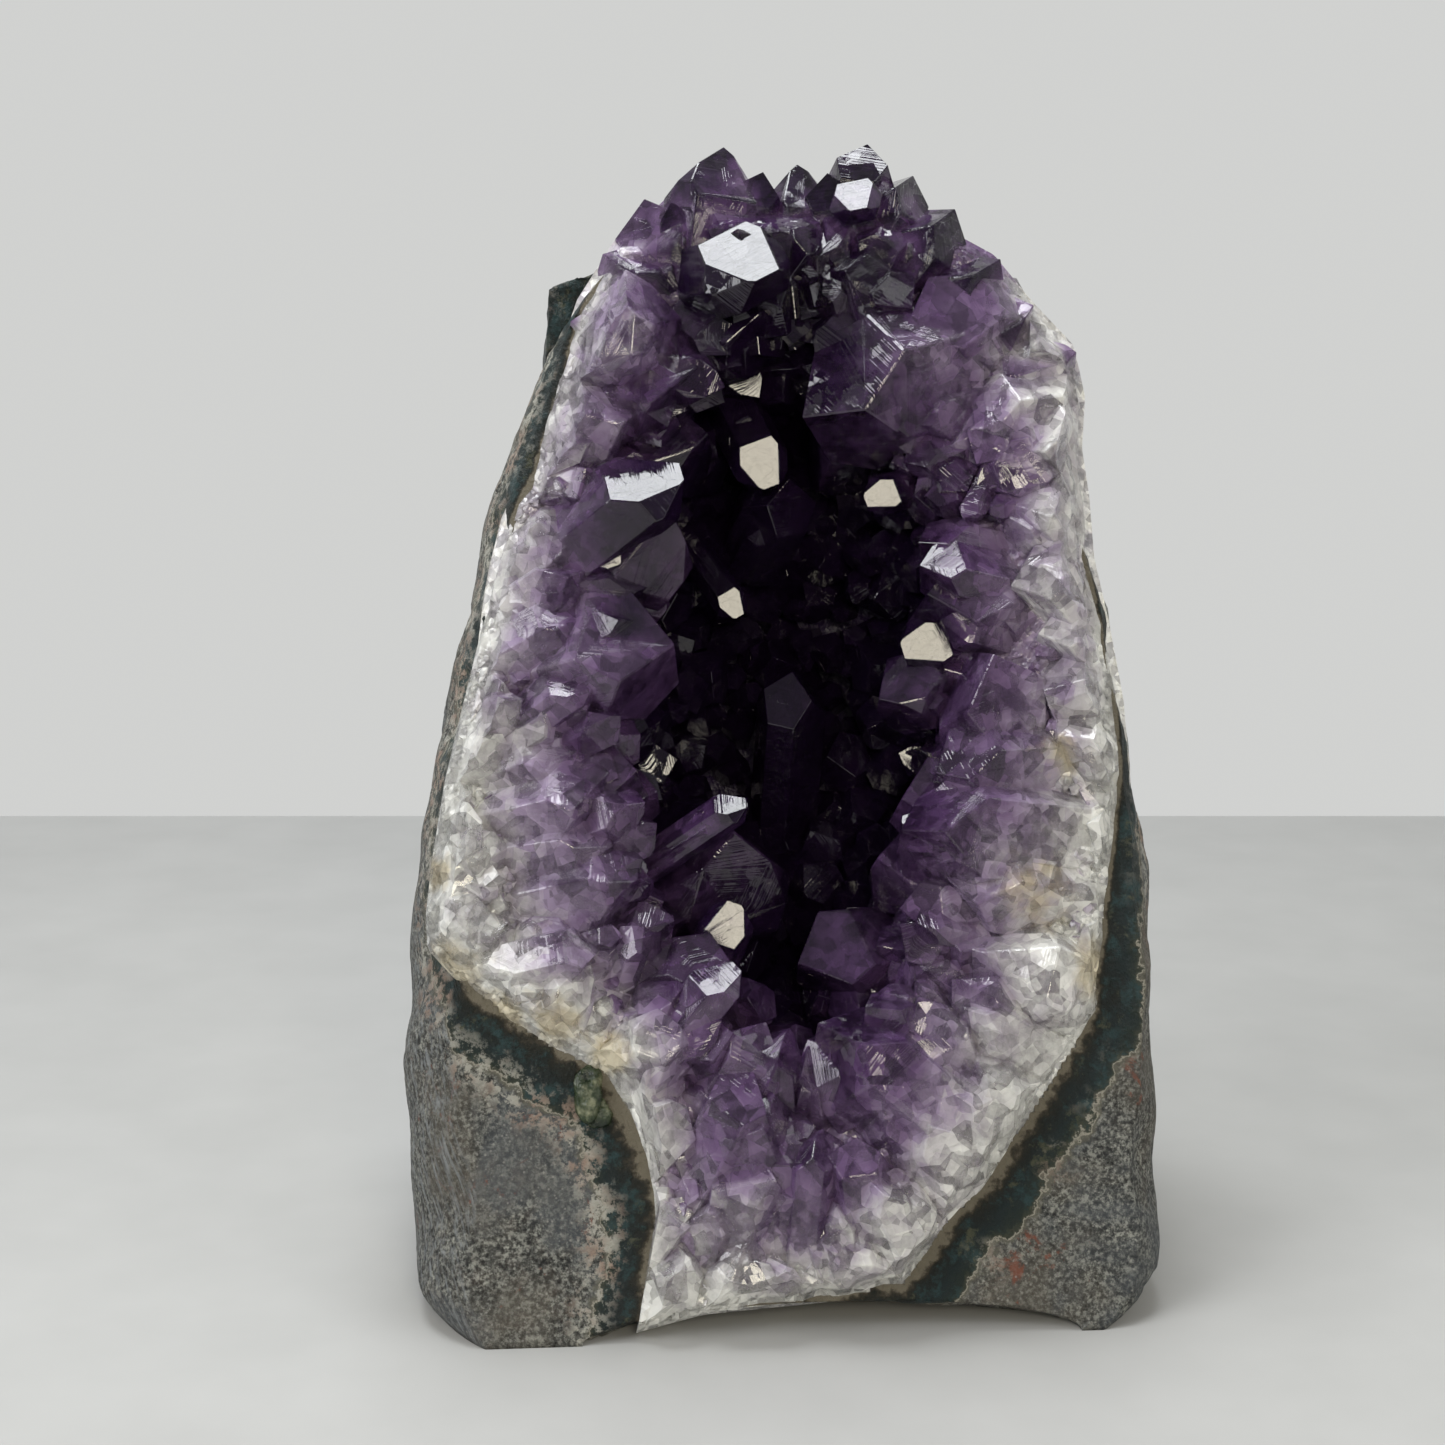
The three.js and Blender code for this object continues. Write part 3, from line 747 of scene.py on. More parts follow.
def hull(corners, worn=0.0):
    """The corners and flat faces of the shape that wraps some places, with its edges worn by a width."""
    bm = bmesh.new()
    for corner in corners:
        bm.verts.new(corner)
    bmesh.ops.convex_hull(bm, input=bm.verts)
    bmesh.ops.dissolve_limit(bm, angle_limit=math.radians(0.5), verts=bm.verts, edges=bm.edges)
    if worn:
        bmesh.ops.bevel(bm, geom=bm.edges, offset=worn, segments=1, affect="EDGES", clamp_overlap=True)
    bmesh.ops.recalc_face_normals(bm, faces=bm.faces)
    bm.verts.index_update()
    points = np.array([v.co[:] for v in bm.verts])
    faces = [[v.index for v in face.verts] for face in bm.faces]
    bm.free()
    return points, faces


def point_shapes(rng, count, breaks):
    """Shapes that the points are copied from, sharp and worn, half of them with all six tip faces."""
    sharp, worn = [], []
    for i in range(count):
        planes = point_planes(rng, i % 2 == 0, breaks if i % 3 else 0)
        corners = point_corners(planes, SHAPE_LENGTH)
        sharp.append(hull(corners))
        worn.append(hull(corners, WORN_EDGE))
    return sharp, worn


def quartz_room():
    """The space that the quartz may fill: its outline, broken away unevenly as it stands out."""
    turn, ways = circle(ROOM_COLUMNS)
    reach = outline_radius(turn)
    rings = []
    for out in (-32.0, -1.0, -0.3, 0.4, 1.1, 1.8, 2.6, 4.0, 8.0):
        places = np.column_stack([ways * reach[:, None], np.full(ROOM_COLUMNS, 1.6 * out)])
        chips = 0.9 * (1 + noise(places, 2.2, 61, 2)) * smooth(-1.0, 0.6, out)
        flat = HOLLOW_CENTRE[:2] + ways * (reach - chips - 0.75 * max(out, 0))[:, None]
        rings.append(np.column_stack([flat, np.full(ROOM_COLUMNS, out)]))
    return mesh_piece("room", to_part(np.concatenate(rings)), tube_faces(len(rings), ROOM_COLUMNS))


class Cluster:
    """Crystal points gathered to become one solid."""

    def __init__(self, name, seed, breaks=0):
        self.name = name
        self.rng = np.random.default_rng(seed)
        self.sharp, self.worn = point_shapes(self.rng, SHAPES_PER_CLUSTER, breaks)
        self.points = []

    def add(self, tip, aim, half_width, length, tone=0.0, spin=None):
        """A point with its tip at a place on the face, aimed in a face direction."""
        shapes = self.worn if half_width > WORN_ABOVE else self.sharp
        corners, faces = shapes[self.rng.integers(len(shapes))]
        aim = Vector(aim).normalized()
        spin = self.rng.uniform(0, math.pi) if spin is None else spin
        turn = Vector((0, 0, 1)).rotation_difference(aim) @ Quaternion((0, 0, 1), spin)
        local = corners * [half_width, half_width * self.rng.uniform(0.85, 1.1), half_width]
        root = local[:, 2] < -2.0 * half_width
        local[root, 2] = -max(length, 2.0 * half_width)
        self.keep(local, np.array(turn.to_matrix()), tip, faces, tone, 0.0)

    def keep(self, local, turn, tip, faces, tone, calm):
        numbers = {
            "along": -local[:, 2],
            "tone": np.full(len(local), tone),
            "calm": np.full(len(local), calm),
        }
        self.points.append((to_part(local @ turn.T + np.asarray(tip)), faces, numbers))

    def add_facing(self, tip, normal, lean, half_width, length, tone, calm):
        """A point with one broad tip face turned to a direction."""
        normal = Vector(normal).normalized()
        side = Vector(lean) - normal * Vector(lean).dot(normal)
        side.normalize()
        aim = normal * math.cos(TIP_ANGLE) + side * math.sin(TIP_ANGLE)
        local_x = (normal - aim * normal.dot(aim)).normalized()
        turn = Matrix((local_x, aim.cross(local_x), aim)).transposed()
        corners, faces = hull(point_corners(broad_planes(), max(length / half_width, 2)), WORN_EDGE)
        self.keep(corners * half_width, np.array(turn), tip, faces, tone, calm)
        return np.array(aim)

    def batches(self):
        """Groups of points that don't touch one another."""
        lows = np.array([item[0].min(0) for item in self.points])
        highs = np.array([item[0].max(0) for item in self.points])
        groups = []
        for i in range(len(self.points)):
            for members in groups:
                if not np.any(np.all((lows[members] < highs[i]) & (highs[members] > lows[i]), axis=1)):
                    members.append(i)
                    break
            else:
                groups.append([i])
        return [[self.points[i] for i in members] for members in groups]

    def fuse(self):
        """Joins all the points into one closed mesh."""
        batches = self.batches()
        whole = self.batch_piece(self.name, batches[0])
        for items in batches[1:]:
            combine(whole, self.batch_piece("batch", items), "UNION")
        return whole

    def batch_piece(self, name, items):
        piece = mesh_piece(name, *gather([item[:2] for item in items]))
        for name in items[0][2]:
            store(piece, name, np.concatenate([item[2][name] for item in items]))
        return piece


def fading(places, across, up, reach):
    """1 at a place on the face, fading out around it."""
    away = np.hypot(places[:, 0] - across, places[:, 1] - up) / reach
    return np.exp(-away * away)


def band_share_and_shade(places):
    """0 at the hollow's mouth, 1 at the rind, and below 0 down in the hollow, where it adds painted
    shade.
    """
    run, turn = from_hollow(places)
    inner, outer = mouth_radius(turn), outline_radius(turn)
    share = np.clip((run - inner) / (outer - inner), -0.5, 1)
    across, up = places[:, 0], places[:, 1]
    crown = smooth(97, 109, up) * smooth(-19, -7, across) * smooth(31, 23, across)
    foot = np.exp(-(((across - 1) / 10) ** 2) - ((up - 17) / 11) ** 2)
    share -= 0.27 * smooth(52, 76, up) + 0.12 * smooth(24, 8, up)
    for *place, paler in PALE_PLACES:
        share += paler * fading(places, *place)
    # Behind the face the share keeps falling with depth, so the colour goes darker purple deeper in the
    # hollow: partly the amethyst's own deeper colour, partly painted shade of the hollow.
    return share - 0.9 * crown - 0.35 * foot - 0.8 * smooth(1, 15, -places[:, 2])


def store_quartz(piece):
    """Keeps how far each vertex is through the band, with painted shade deep in the hollow, and how much
    it is stained yellow.
    """
    places = to_face(coordinates(piece))
    store(piece, "band", band_share_and_shade(places))
    store(piece, "stain", np.max([fading(places, *stain) for stain in STAINS], axis=0))


def aim_of(heading, rise):
    h, r = math.radians(heading), math.radians(rise)
    return (math.cos(r) * math.cos(h), math.cos(r) * math.sin(h), math.sin(r))


def buried_length(out, rise, half_width, length):
    """Long enough for the point's root to be under the face."""
    r = math.radians(rise)
    return max(length, (out + half_width * math.cos(r)) / math.sin(r) + 1)


def add_beside(cluster, tip, aim, half_width, length, tone, spin, drops, count):
    """Smaller points grown along a large one's sides, turned much the same way."""
    rng = cluster.rng
    across = np.cross(aim, [0.3, 0.2, 0.9])
    across /= np.linalg.norm(across)
    other = np.cross(aim, across)
    for i in range(count):
        turn = 2 * math.pi * (i + rng.uniform(-0.3, 0.3)) / count
        way = math.cos(turn) * across + math.sin(turn) * other
        share = rng.uniform(0.35, 0.6)
        drop = half_width * rng.uniform(*drops)
        place = np.array(tip) + way * half_width * (0.97 - share) * 1.15 - aim * drop
        tilt = aim + way * rng.uniform(-0.03, 0.12)
        cluster.add(place, tilt, half_width * share, length - drop, tone + rng.uniform(-0.08, 0.08), spin)


def mirror_way(place, lamp):
    """The direction that a face at a place has to have to mirror a lamp into the camera."""
    to_camera = Vector(CAMERA_PLACE) - Vector(place)
    to_lamp = Vector(LAMPS[lamp][0]) - Vector(place)
    return np.array((to_camera.normalized() + to_lamp.normalized()).normalized())


def calmest_spin(rng, tip, aim):
    """The turn about its long axis at which a point's faces mirror the lamps least."""
    place = to_part(np.asarray(tip)) * MM
    ways = [mirror_way(place, lamp) @ AXES for lamp in LAMPS]
    swing = Vector((0, 0, 1)).rotation_difference(Vector(aim))
    best = (2.0, 0.0)
    for spin in rng.uniform(0, math.pi / 3, 10):
        turn = np.array((swing @ Quaternion((0, 0, 1), spin)).to_matrix())
        closest = -1.0
        for i in range(6):
            for lean in (math.pi / 2, TIP_ANGLE):
                normal = turn @ leaning(i * math.pi / 3, lean)
                closest = max(closest, max(normal @ way for way in ways))
        best = min(best, (closest, spin))
    return best[1]


def add_bundle(cluster, tip, aim, half_width, length, tone, count):
    aim = np.array(aim)
    spin = calmest_spin(cluster.rng, tip, aim)
    cluster.add(tip, aim, half_width * 0.97, length, tone, spin)
    add_beside(cluster, tip, aim, half_width, length, tone, spin, BUNDLE_DROPS, count)


def add_placed(cluster, table, shade, count):
    for across, up, out, heading, rise, half_width, length, *tone in table:
        length = buried_length(out, rise, half_width, length)
        tone = tone[0] if tone else shade
        aim = aim_of(heading, rise)
        add_bundle(cluster, (across, up, out), aim, half_width, length, tone, count)


def add_lining(cluster, count, widths):
    """Points all over the hollow's wall, aimed inward and a little out of its mouth."""
    rng = cluster.rng
    golden = math.pi * (3 - math.sqrt(5))
    for i in range(count):
        sink = (1 - (i + 0.5) / count) ** 1.15
        ring = math.sqrt(1 - sink * sink)
        way = np.array([ring * math.cos(i * golden), ring * math.sin(i * golden), -sink])
        wall = way * HOLLOW_REACH
        inward = -way / HOLLOW_REACH
        inward /= np.linalg.norm(inward)
        aim = inward + rng.uniform(-0.35, 0.35, 3) + [0, 0, 0.4]
        aim /= np.linalg.norm(aim)
        half_width = rng.uniform(*widths)
        stand = half_width * 1.3 + rng.uniform(1, 4)
        tip = HOLLOW_CENTRE + wall + aim * stand
        cluster.add(tip, aim, half_width, stand + 2.5, rng.uniform(-0.1, 0.1))


def big_ones():
    """Where the large points lie on the face: tip, root and half width of each."""
    found = []
    for across, up, _, heading, rise, half_width, length, *_ in LARGE_POINTS + BAND_POINTS + CROWN_POINTS:
        aim = np.array(aim_of(heading, rise)[:2])
        tip = np.array([across, up])
        found.append((tip - aim * half_width * 0.7, tip - aim * length * 0.75, half_width))
    return found


def free_of(big, place, share):
    """Whether a place is clear of the large points."""
    for tip, root, half_width in big:
        edge = root - tip
        along = np.clip((place - tip) @ edge / max(edge @ edge, 0.01), 0, 1)
        if np.linalg.norm(place - tip - along * edge) < half_width * share:
            return False
    return True


def add_band(cluster, count, near, depths, widths, rises, outs, swing, share):
    """Scattered points on the quartz, lying from the rind towards the hollow."""
    rng = cluster.rng
    big = big_ones()
    low, high = QUARTZ_OUTLINE.min(0), QUARTZ_OUTLINE.max(0)
    tries = rng.uniform(low, high, (count * 14, 2))
    inside = -outline_distance(tries, QUARTZ_OUTLINE)
    run, turns = from_hollow(tries)
    beyond = run - mouth_radius(turns)
    made = 0
    deepest = rng.uniform(depths[1], depths[2], len(tries)) * (1 - 0.45 * smooth(55, 85, tries[:, 1]))
    shown = (inside > depths[0]) & (inside < deepest)
    for place, turn, depth, away in zip(tries[shown], turns[shown], inside[shown], beyond[shown]):
        if made == count:
            break
        if away < near or not free_of(big, place, share):
            continue
        made += 1
        normal = np.array([math.cos(turn) / HOLLOW_REACH[0], math.sin(turn) / HOLLOW_REACH[1]])
        heading = math.degrees(math.atan2(-normal[1], -normal[0])) + rng.uniform(-swing, swing)
        rise = rng.uniform(*rises)
        half_width = rng.uniform(*widths) * min(1, 0.5 + depth / 12)
        out = rng.uniform(*outs) * min(1, 0.3 + depth / 8)
        length = min(buried_length(out, rise, half_width, 0), half_width * 5)
        cluster.add((*place, out), aim_of(heading, rise), half_width, length, rng.normal(0.02, 0.16))


def add_mirrors(cluster):
    """Points whose broad faces send a lamp's light to the camera."""
    for across, up, out, half_width, length, tone, lamp, heading in MIRROR_POINTS:
        tip = np.array([across, up, out])
        place = to_part(tip) * MM
        normal = mirror_way(place, lamp) @ AXES
        aim = cluster.add_facing(tip, normal, aim_of(heading, 0), half_width, length, tone, CALM[lamp])
        add_beside(cluster, tip, aim, half_width, length, tone, 0.0, MIRROR_DROPS, 4)


def make_points():
    """The purple points, the band's points with those of the top edge, and the sugary quartz."""
    amethyst = Cluster("amethyst_points", 3)
    add_placed(amethyst, LARGE_POINTS, LARGE_TONE, 3)
    add_mirrors(amethyst)
    add_lining(amethyst, LINING_COUNT, LINING_WIDTHS)
    lavender = Cluster("lavender_points", 5, 1)
    add_placed(lavender, BAND_POINTS, 0, 2)
    add_band(lavender, *LARGE_SCATTER)
    add_band(lavender, *SMALL_SCATTER)
    sugar = Cluster("quartz_points", 7, 2)
    add_band(sugar, *SUGAR_SCATTER)
    crown = Cluster("crown", 9)
    add_placed(crown, CROWN_POINTS, CROWN_TONE, 5)
    pieces = [cluster.fuse() for cluster in (amethyst, lavender, sugar)]
    for piece in pieces[1:]:
        combine(piece, quartz_room(), "INTERSECT")
    combine(pieces[1], crown.fuse(), "UNION")
    for piece in pieces:
        store_quartz(piece)
    return pieces


def make_olive():
    """The olive-green lumps in the rind."""
    round_places = ball(*OLIVE_GRID)
    parts = []
    for across, up, out, wide, high, thick in OLIVE_LUMPS:
        lumpy = 1 + 0.45 * noise(round_places * 3, 2.4, round(up * 7), 3)
        places = round_places * lumpy[:, None] * [wide, high, thick] + [across, up, out]
        parts.append((to_part(places), tube_faces(*OLIVE_GRID)))
    piece = mesh_piece("olive_lumps", *gather(parts))
    piece.data.shade_smooth()
    return piece


def make_lump():
    """The lump of rind and rock at the upper left."""
    corners, faces = hull([Vector(corner) for corner in RIND_LUMP_CORNERS])
    piece = mesh_piece("rind_lump", corners, faces)
    remesh = piece.modifiers.new("remesh", "REMESH")
    remesh.mode = "VOXEL"
    remesh.voxel_size = RIND_LUMP_CELL * MM
    apply_modifiers(piece)
    points = coordinates(piece)
    depth = 0.5 * (1 + noise(points, 4, 51, 4))
    set_coordinates(piece, points - vertex_normals(piece) * depth[:, None])
    left = RIND_LUMP_LEFT - points[:, 0] - 0.2 * (points[:, 2] - 95)
    top = points[:, 2] - RIND_LUMP_TOP + 0.15 * points[:, 1]
    rind = 2.2 + 0.8 * np.minimum(np.maximum(left, top), 0) + 0.8 * noise(points, 4, 53)
    store(piece, "rind", np.where(points[:, 1] > 14, 9, np.clip(rind, 0, 3.4)))
    store(piece, "ground", np.zeros(len(points)))
    store(piece, "side", np.ones(len(points)))
    piece.data.shade_smooth()
    return piece


# Materials
class Nodes:
    """Adds nodes to a tree, each fed with numbers or with other nodes' results."""

    def __init__(self, tree):
        self.tree = tree
        self.place = self.add("ShaderNodeTexCoord").outputs["Object"]

    def add(self, kind, **settings):
        node = self.tree.nodes.new(kind)
        for name, value in settings.items():
            setattr(node, name, value)
        return node

    def join(self, value, socket):
        if isinstance(value, bpy.types.NodeSocket):
            self.tree.links.new(value, socket)
        else:
            socket.default_value = value

    def math(self, operation, a, b=0.0, c=0.0):
        node = self.add("ShaderNodeMath", operation=operation)
        for value, socket in zip((a, b, c), node.inputs):
            self.join(value, socket)
        return node.outputs[0]

    def plus(self, a, b):
        return self.math("ADD", a, b)

    def minus(self, a, b):
        return self.math("SUBTRACT", a, b)

    def times(self, a, b):
        return self.math("MULTIPLY", a, b)

    def scaled(self, value, factor, start):
        return self.math("MULTIPLY_ADD", value, factor, start)

    def sum(self, *parts):
        """Adds up numbers, each times its weight."""
        total = 0.0
        for value, weight in parts:
            total = self.scaled(value, weight, total)
        return total

    def centred(self, value):
        return self.minus(value, 0.5)

    def fill(self, kind, **values):
        """A new node with its sockets filled, and what it gives."""
        node = self.add(kind)
        for name, value in values.items():
            self.join(value, node.inputs[name])
        return node.outputs

    def noise(self, scale, detail=4.0, roughness=0.55, place=None, distortion=0.0):
        settings = {"Scale": scale, "Detail": detail, "Roughness": roughness, "Distortion": distortion}
        return self.fill("ShaderNodeTexNoise", Vector=place or self.place, **settings)[0]

    def cells(self, scale):
        """Angular cells, that many in a metre."""
        return self.fill("ShaderNodeTexVoronoi", Vector=self.place, Scale=scale)

    def patches(self, size):
        """One random number from 0 to 1 for each cell of a size in metres."""
        return self.split(self.cells(1 / size)["Color"])["X"]

    def facets(self, size, tilt):
        """The height of flat facets in metres, each tilted at random."""
        cells = self.cells(1 / size)
        offset = self.vector("SUBTRACT", self.place, cells["Position"])[0]
        lean = self.vector("SUBTRACT", cells["Color"], (0.5, 0.5, 0.5))[0]
        return self.times(self.vector("DOT_PRODUCT", offset, lean)["Value"], tilt)

    def vector(self, operation, a, b):
        node = self.add("ShaderNodeVectorMath", operation=operation)
        self.join(a, node.inputs[0])
        self.join(b, node.inputs[1])
        return node.outputs

    def attribute(self, name):
        return self.add("ShaderNodeAttribute", attribute_name=name).outputs["Fac"]

    def ramp(self, value, stops):
        """Colours or plain numbers at places from 0 to 1, and what lies between them."""
        node = self.add("ShaderNodeValToRGB")
        self.join(value, node.inputs[0])
        elements = node.color_ramp.elements
        while len(elements) < len(stops):
            elements.new(0.5)
        for element, (position, colour) in zip(elements, stops):
            element.position = position
            element.color = (*colour, 1) if isinstance(colour, tuple) else (colour, colour, colour, 1)
        return node.outputs[0]

    def mix(self, share, a, b, blend="MIX"):
        node = self.add("ShaderNodeMix", data_type="RGBA", blend_type=blend)
        self.join(share, node.inputs["Factor"])
        for value, socket in ((a, node.inputs[6]), (b, node.inputs[7])):
            self.join((*value, 1) if isinstance(value, tuple) else value, socket)
        return node.outputs[2]

    def cover(self, under, colour, pattern, start, full, share, where=None):
        """Patches of a colour, from where a pattern passes one number to where it passes another."""
        patches = self.ramp(pattern, [(start, 0.0), (full, share)])
        if where is not None:
            patches = self.times(patches, where)
        return self.mix(patches, under, colour)

    def bump(self, height, distance):
        return self.fill("ShaderNodeBump", Height=height, Distance=distance, Strength=1.0)[0]

    def split(self, vector):
        return self.fill("ShaderNodeSeparateXYZ", Vector=vector)


class Look(Nodes):
    """A material and its nodes."""

    def __init__(self, name):
        self.material = bpy.data.materials.new(name)
        self.material.use_nodes = True
        super().__init__(self.material.node_tree)

    def set(self, name, value):
        shader = self.tree.nodes["Principled BSDF"]
        self.join((*value, 1) if isinstance(value, tuple) else value, shader.inputs[name])

    def volume(self, colour, density):
        volume = self.fill("ShaderNodeVolumeAbsorption", Color=(*colour, 1), Density=density)[0]
        self.join(volume, self.tree.nodes["Material Output"].inputs["Volume"])


def basalt_material():
    """Speckled grey rock, and towards the quartz a pale line, a dark green rind and a brown halo."""
    n = Look("basalt")
    wobble = n.centred(n.noise(110, 4, 0.65))
    fine_wobble = n.centred(n.noise(700, 5, 0.65))
    reach = n.times(n.sum((n.attribute("rind"), 1), (wobble, 5.5), (fine_wobble, 3.2)), 1 / 14)
    bands = n.ramp(
        reach,
        [
            (0.0, (0.17, 0.15, 0.11)),
            (0.025, (0.055, 0.045, 0.03)),
            (0.055, (0.014, 0.014, 0.009)),
            (0.11, (0.007, 0.01, 0.008)),
            (0.2, (0.007, 0.016, 0.017)),
            (0.28, (0.013, 0.021, 0.016)),
            (0.318, (0.045, 0.048, 0.032)),
            (0.33, (0.38, 0.36, 0.3)),
            (0.342, (0.12, 0.115, 0.09)),
        ],
    )
    inside = n.ramp(reach, [(0.06, 0.0), (0.1, 1.0), (0.3, 1.0), (0.32, 0.0)])
    teal, moss = (0.022, 0.052, 0.055), (0.075, 0.078, 0.045)
    bands = n.cover(bands, teal, n.noise(330, 6, 0.75), 0.5, 0.6, 0.85, inside)
    bands = n.cover(bands, moss, n.noise(450, 6, 0.75), 0.56, 0.64, 0.8, inside)
    grains = n.noise(1900, 4, 0.75)
    greys = [(0.39, (0.014, 0.014, 0.014)), (0.5, (0.095, 0.097, 0.091)), (0.6, (0.3, 0.305, 0.28))]
    stone = n.ramp(grains, greys)
    mottle = n.ramp(n.noise(340, 6, 0.75), [(0.38, (0.68, 0.68, 0.68)), (0.64, (1.28, 1.27, 1.22))])
    stone = n.mix(1.0, stone, mottle, "MULTIPLY")
    brown, cool, rust = (0.125, 0.112, 0.09), (0.1, 0.112, 0.125), (0.2, 0.062, 0.035)
    stone = n.cover(stone, brown, n.noise(95, 4), 0.46, 0.62, 0.55)
    stone = n.cover(stone, cool, n.noise(75, 3, 0.6, distortion=0.7), 0.5, 0.62, 0.5)
    stone = n.cover(stone, rust, n.noise(190, 6, 0.7, distortion=0.6), 0.62, 0.68, 0.8)
    saw = n.add("ShaderNodeMapping", vector_type="TEXTURE")
    n.join(n.place, saw.inputs["Vector"])
    stroke = Vector((0.36, -0.35, -0.87))
    saw.inputs["Rotation"].default_value = stroke.to_track_quat("Z", "Y").to_euler()
    saw.inputs["Scale"].default_value = (0.0005, 0.0005, 0.005)
    strokes = n.noise(1.0, 4, 0.65, place=saw.outputs[0])
    marks = n.times(n.ramp(strokes, [(0.48, 0.0), (0.64, 0.7)]), n.attribute("ground"))
    stone = n.mix(marks, stone, (0.3, 0.32, 0.33))
    far = n.ramp(reach, [(0.345, 0.0), (0.39, 1.0)])
    colour = n.mix(far, bands, stone)
    crumbs = n.ramp(n.noise(700, 6, 0.75), [(0.49, 0.0), (0.55, 0.9)])
    leftward = n.ramp(n.scaled(n.split(n.place)["X"], 25, 0.5), [(0.12, 1.0), (0.4, 0.0)])
    patches = n.ramp(n.noise(120, 3), [(0.52, 0.0), (0.66, 0.7)])
    patches = n.math("MAXIMUM", patches, n.math("MAXIMUM", n.attribute("side"), leftward))
    near = n.ramp(reach, [(0.16, 0.0), (0.3, 0.75), (0.36, 1.0), (0.46, 1.0), (0.6, 0.08)])
    crumbs = n.times(n.times(crumbs, patches), near)
    crumb_tint = n.ramp(n.noise(260, 3), [(0.44, (0.43, 0.42, 0.37)), (0.6, (0.34, 0.25, 0.2))])
    colour = n.mix(crumbs, colour, crumb_tint)
    pale = n.ramp(n.cells(1300)["Distance"], [(0.1, 0.5), (0.2, 0.0)])
    colour = n.mix(n.times(pale, far), colour, (0.38, 0.37, 0.34))
    n.set("Base Color", colour)
    n.set("Roughness", n.ramp(reach, [(0.05, 0.45), (0.3, 0.36), (0.36, 0.8)]))
    n.set("Specular IOR Level", 0.35)
    relief = n.sum((n.noise(700, 6, 0.7), 1), (n.noise(3000, 3, 0.6), 0.35), (marks, 0.4))
    n.set("Normal", n.bump(relief, 0.0009))
    return n.material


def bed_material():
    n = Look("milky_quartz")
    grey = n.sum((n.patches(0.0009), 0.5), (n.noise(520, 5, 0.65), 0.5))
    cloud = n.ramp(grey, [(0.3, (0.36, 0.35, 0.38)), (0.65, (1.0, 1.0, 1.0))])
    n.set("Base Color", n.mix(0.8, quartz_tint(n, 0.0), cloud, "MULTIPLY"))
    n.set("Roughness", n.ramp(n.noise(900, 3), [(0.35, 0.15), (0.65, 0.5)]))
    relief = n.plus(n.facets(0.0011, 0.9), n.facets(0.0005, 0.6))
    n.set("Normal", n.bump(relief, 1.0))
    n.set("IOR", QUARTZ_IOR)
    n.set("Coat Weight", 0.5)
    n.set("Coat Roughness", 0.1)
    return n.material


def olive_material():
    n = Look("olive")
    greens = [(0.4, (0.008, 0.015, 0.008)), (0.54, (0.03, 0.045, 0.02)), (0.68, (0.2, 0.21, 0.13))]
    n.set("Base Color", n.ramp(n.noise(420, 4, 0.6), greens))
    n.set("Roughness", n.ramp(n.noise(900, 3), [(0.35, 0.12), (0.65, 0.35)]))
    n.set("Normal", n.bump(n.noise(1100, 4), 0.0004))
    return n.material


def wall_material():
    # Dark purple amethyst roots, painted near black: the darkness is painted shade deep in the hollow.
    n = Look("shaded_amethyst_root")
    shaded_purples = [(0.3, (0.005, 0.002, 0.012)), (0.7, (0.02, 0.006, 0.045))]
    n.set("Base Color", n.ramp(n.noise(300, 4), shaded_purples))
    n.set("Roughness", 0.35)
    n.set("Normal", n.bump(n.noise(900, 4), 0.0006))
    return n.material


def stained(n, colour):
    """Turns a colour yellow where the quartz is stained."""
    patches = n.sum((n.attribute("stain"), 1), (n.centred(n.noise(500, 3)), 0.9))
    return n.cover(colour, (0.72, 0.62, 0.4), patches, 0.45, 0.85, 0.7)


def quartz_tint(n, tone):
    """White at the rind, through lavender to deep purple in the hollow, where part of the darkness is
    painted shade.
    """
    clouds = n.centred(n.noise(150, 3, 0.6))
    streaks = n.centred(n.patches(0.0016))
    share = n.sum((n.attribute("band"), 1), (tone, -1), (clouds, 0.9), (streaks, 0.2))
    tint = n.ramp(
        n.scaled(share, 0.5, 0.5),
        [
            (0.06, (0.022, 0.009, 0.038)),
            (0.3, (0.105, 0.052, 0.145)),
            (0.5, (0.215, 0.138, 0.27)),
            (0.64, (0.38, 0.3, 0.44)),
            (0.78, (0.61, 0.58, 0.61)),
            (0.9, (0.9, 0.9, 0.865)),
        ],
    )
    return stained(n, tint)


def crystal_material(name):
    """Clear quartz with cloudy veils, lines across its sides and small facets."""
    absorb, density, clear, veil, polish, crumb, tilt = CRYSTALS[name]
    n = Look(name)
    n.set("Base Color", quartz_tint(n, n.attribute("tone")))
    cracks = n.sum((n.patches(crumb), 0.35), (n.patches(crumb * 0.4), 0.3), (n.noise(420, 4, 0.75), 0.6))
    cloudy = n.ramp(n.scaled(n.attribute("band"), 0.5, 0.5), [(0.05, 0.3), (0.25, 0.75), (0.8, 1.0)])
    veils = n.times(n.times(n.ramp(cracks, [(0.42, 0.0), (0.85, 1.0)]), cloudy), veil)
    n.set("Transmission Weight", n.minus(clear, veils))
    n.set("IOR", QUARTZ_IOR)
    n.set("Roughness", n.ramp(n.noise(420, 2), [(0.42, polish), (0.68, polish * 3)]))
    lines = n.noise(2.2, 2, 0.7, place=n.fill("ShaderNodeCombineXYZ", X=n.attribute("along"))[0])
    relief = n.sum((lines, 0.00008), (n.facets(crumb, tilt), 1), (n.facets(crumb * 0.37, tilt * 0.8), 1))
    n.set("Normal", n.bump(n.times(relief, n.minus(1.0, n.attribute("calm"))), 1.0))
    n.volume(absorb, density)
    return n.material


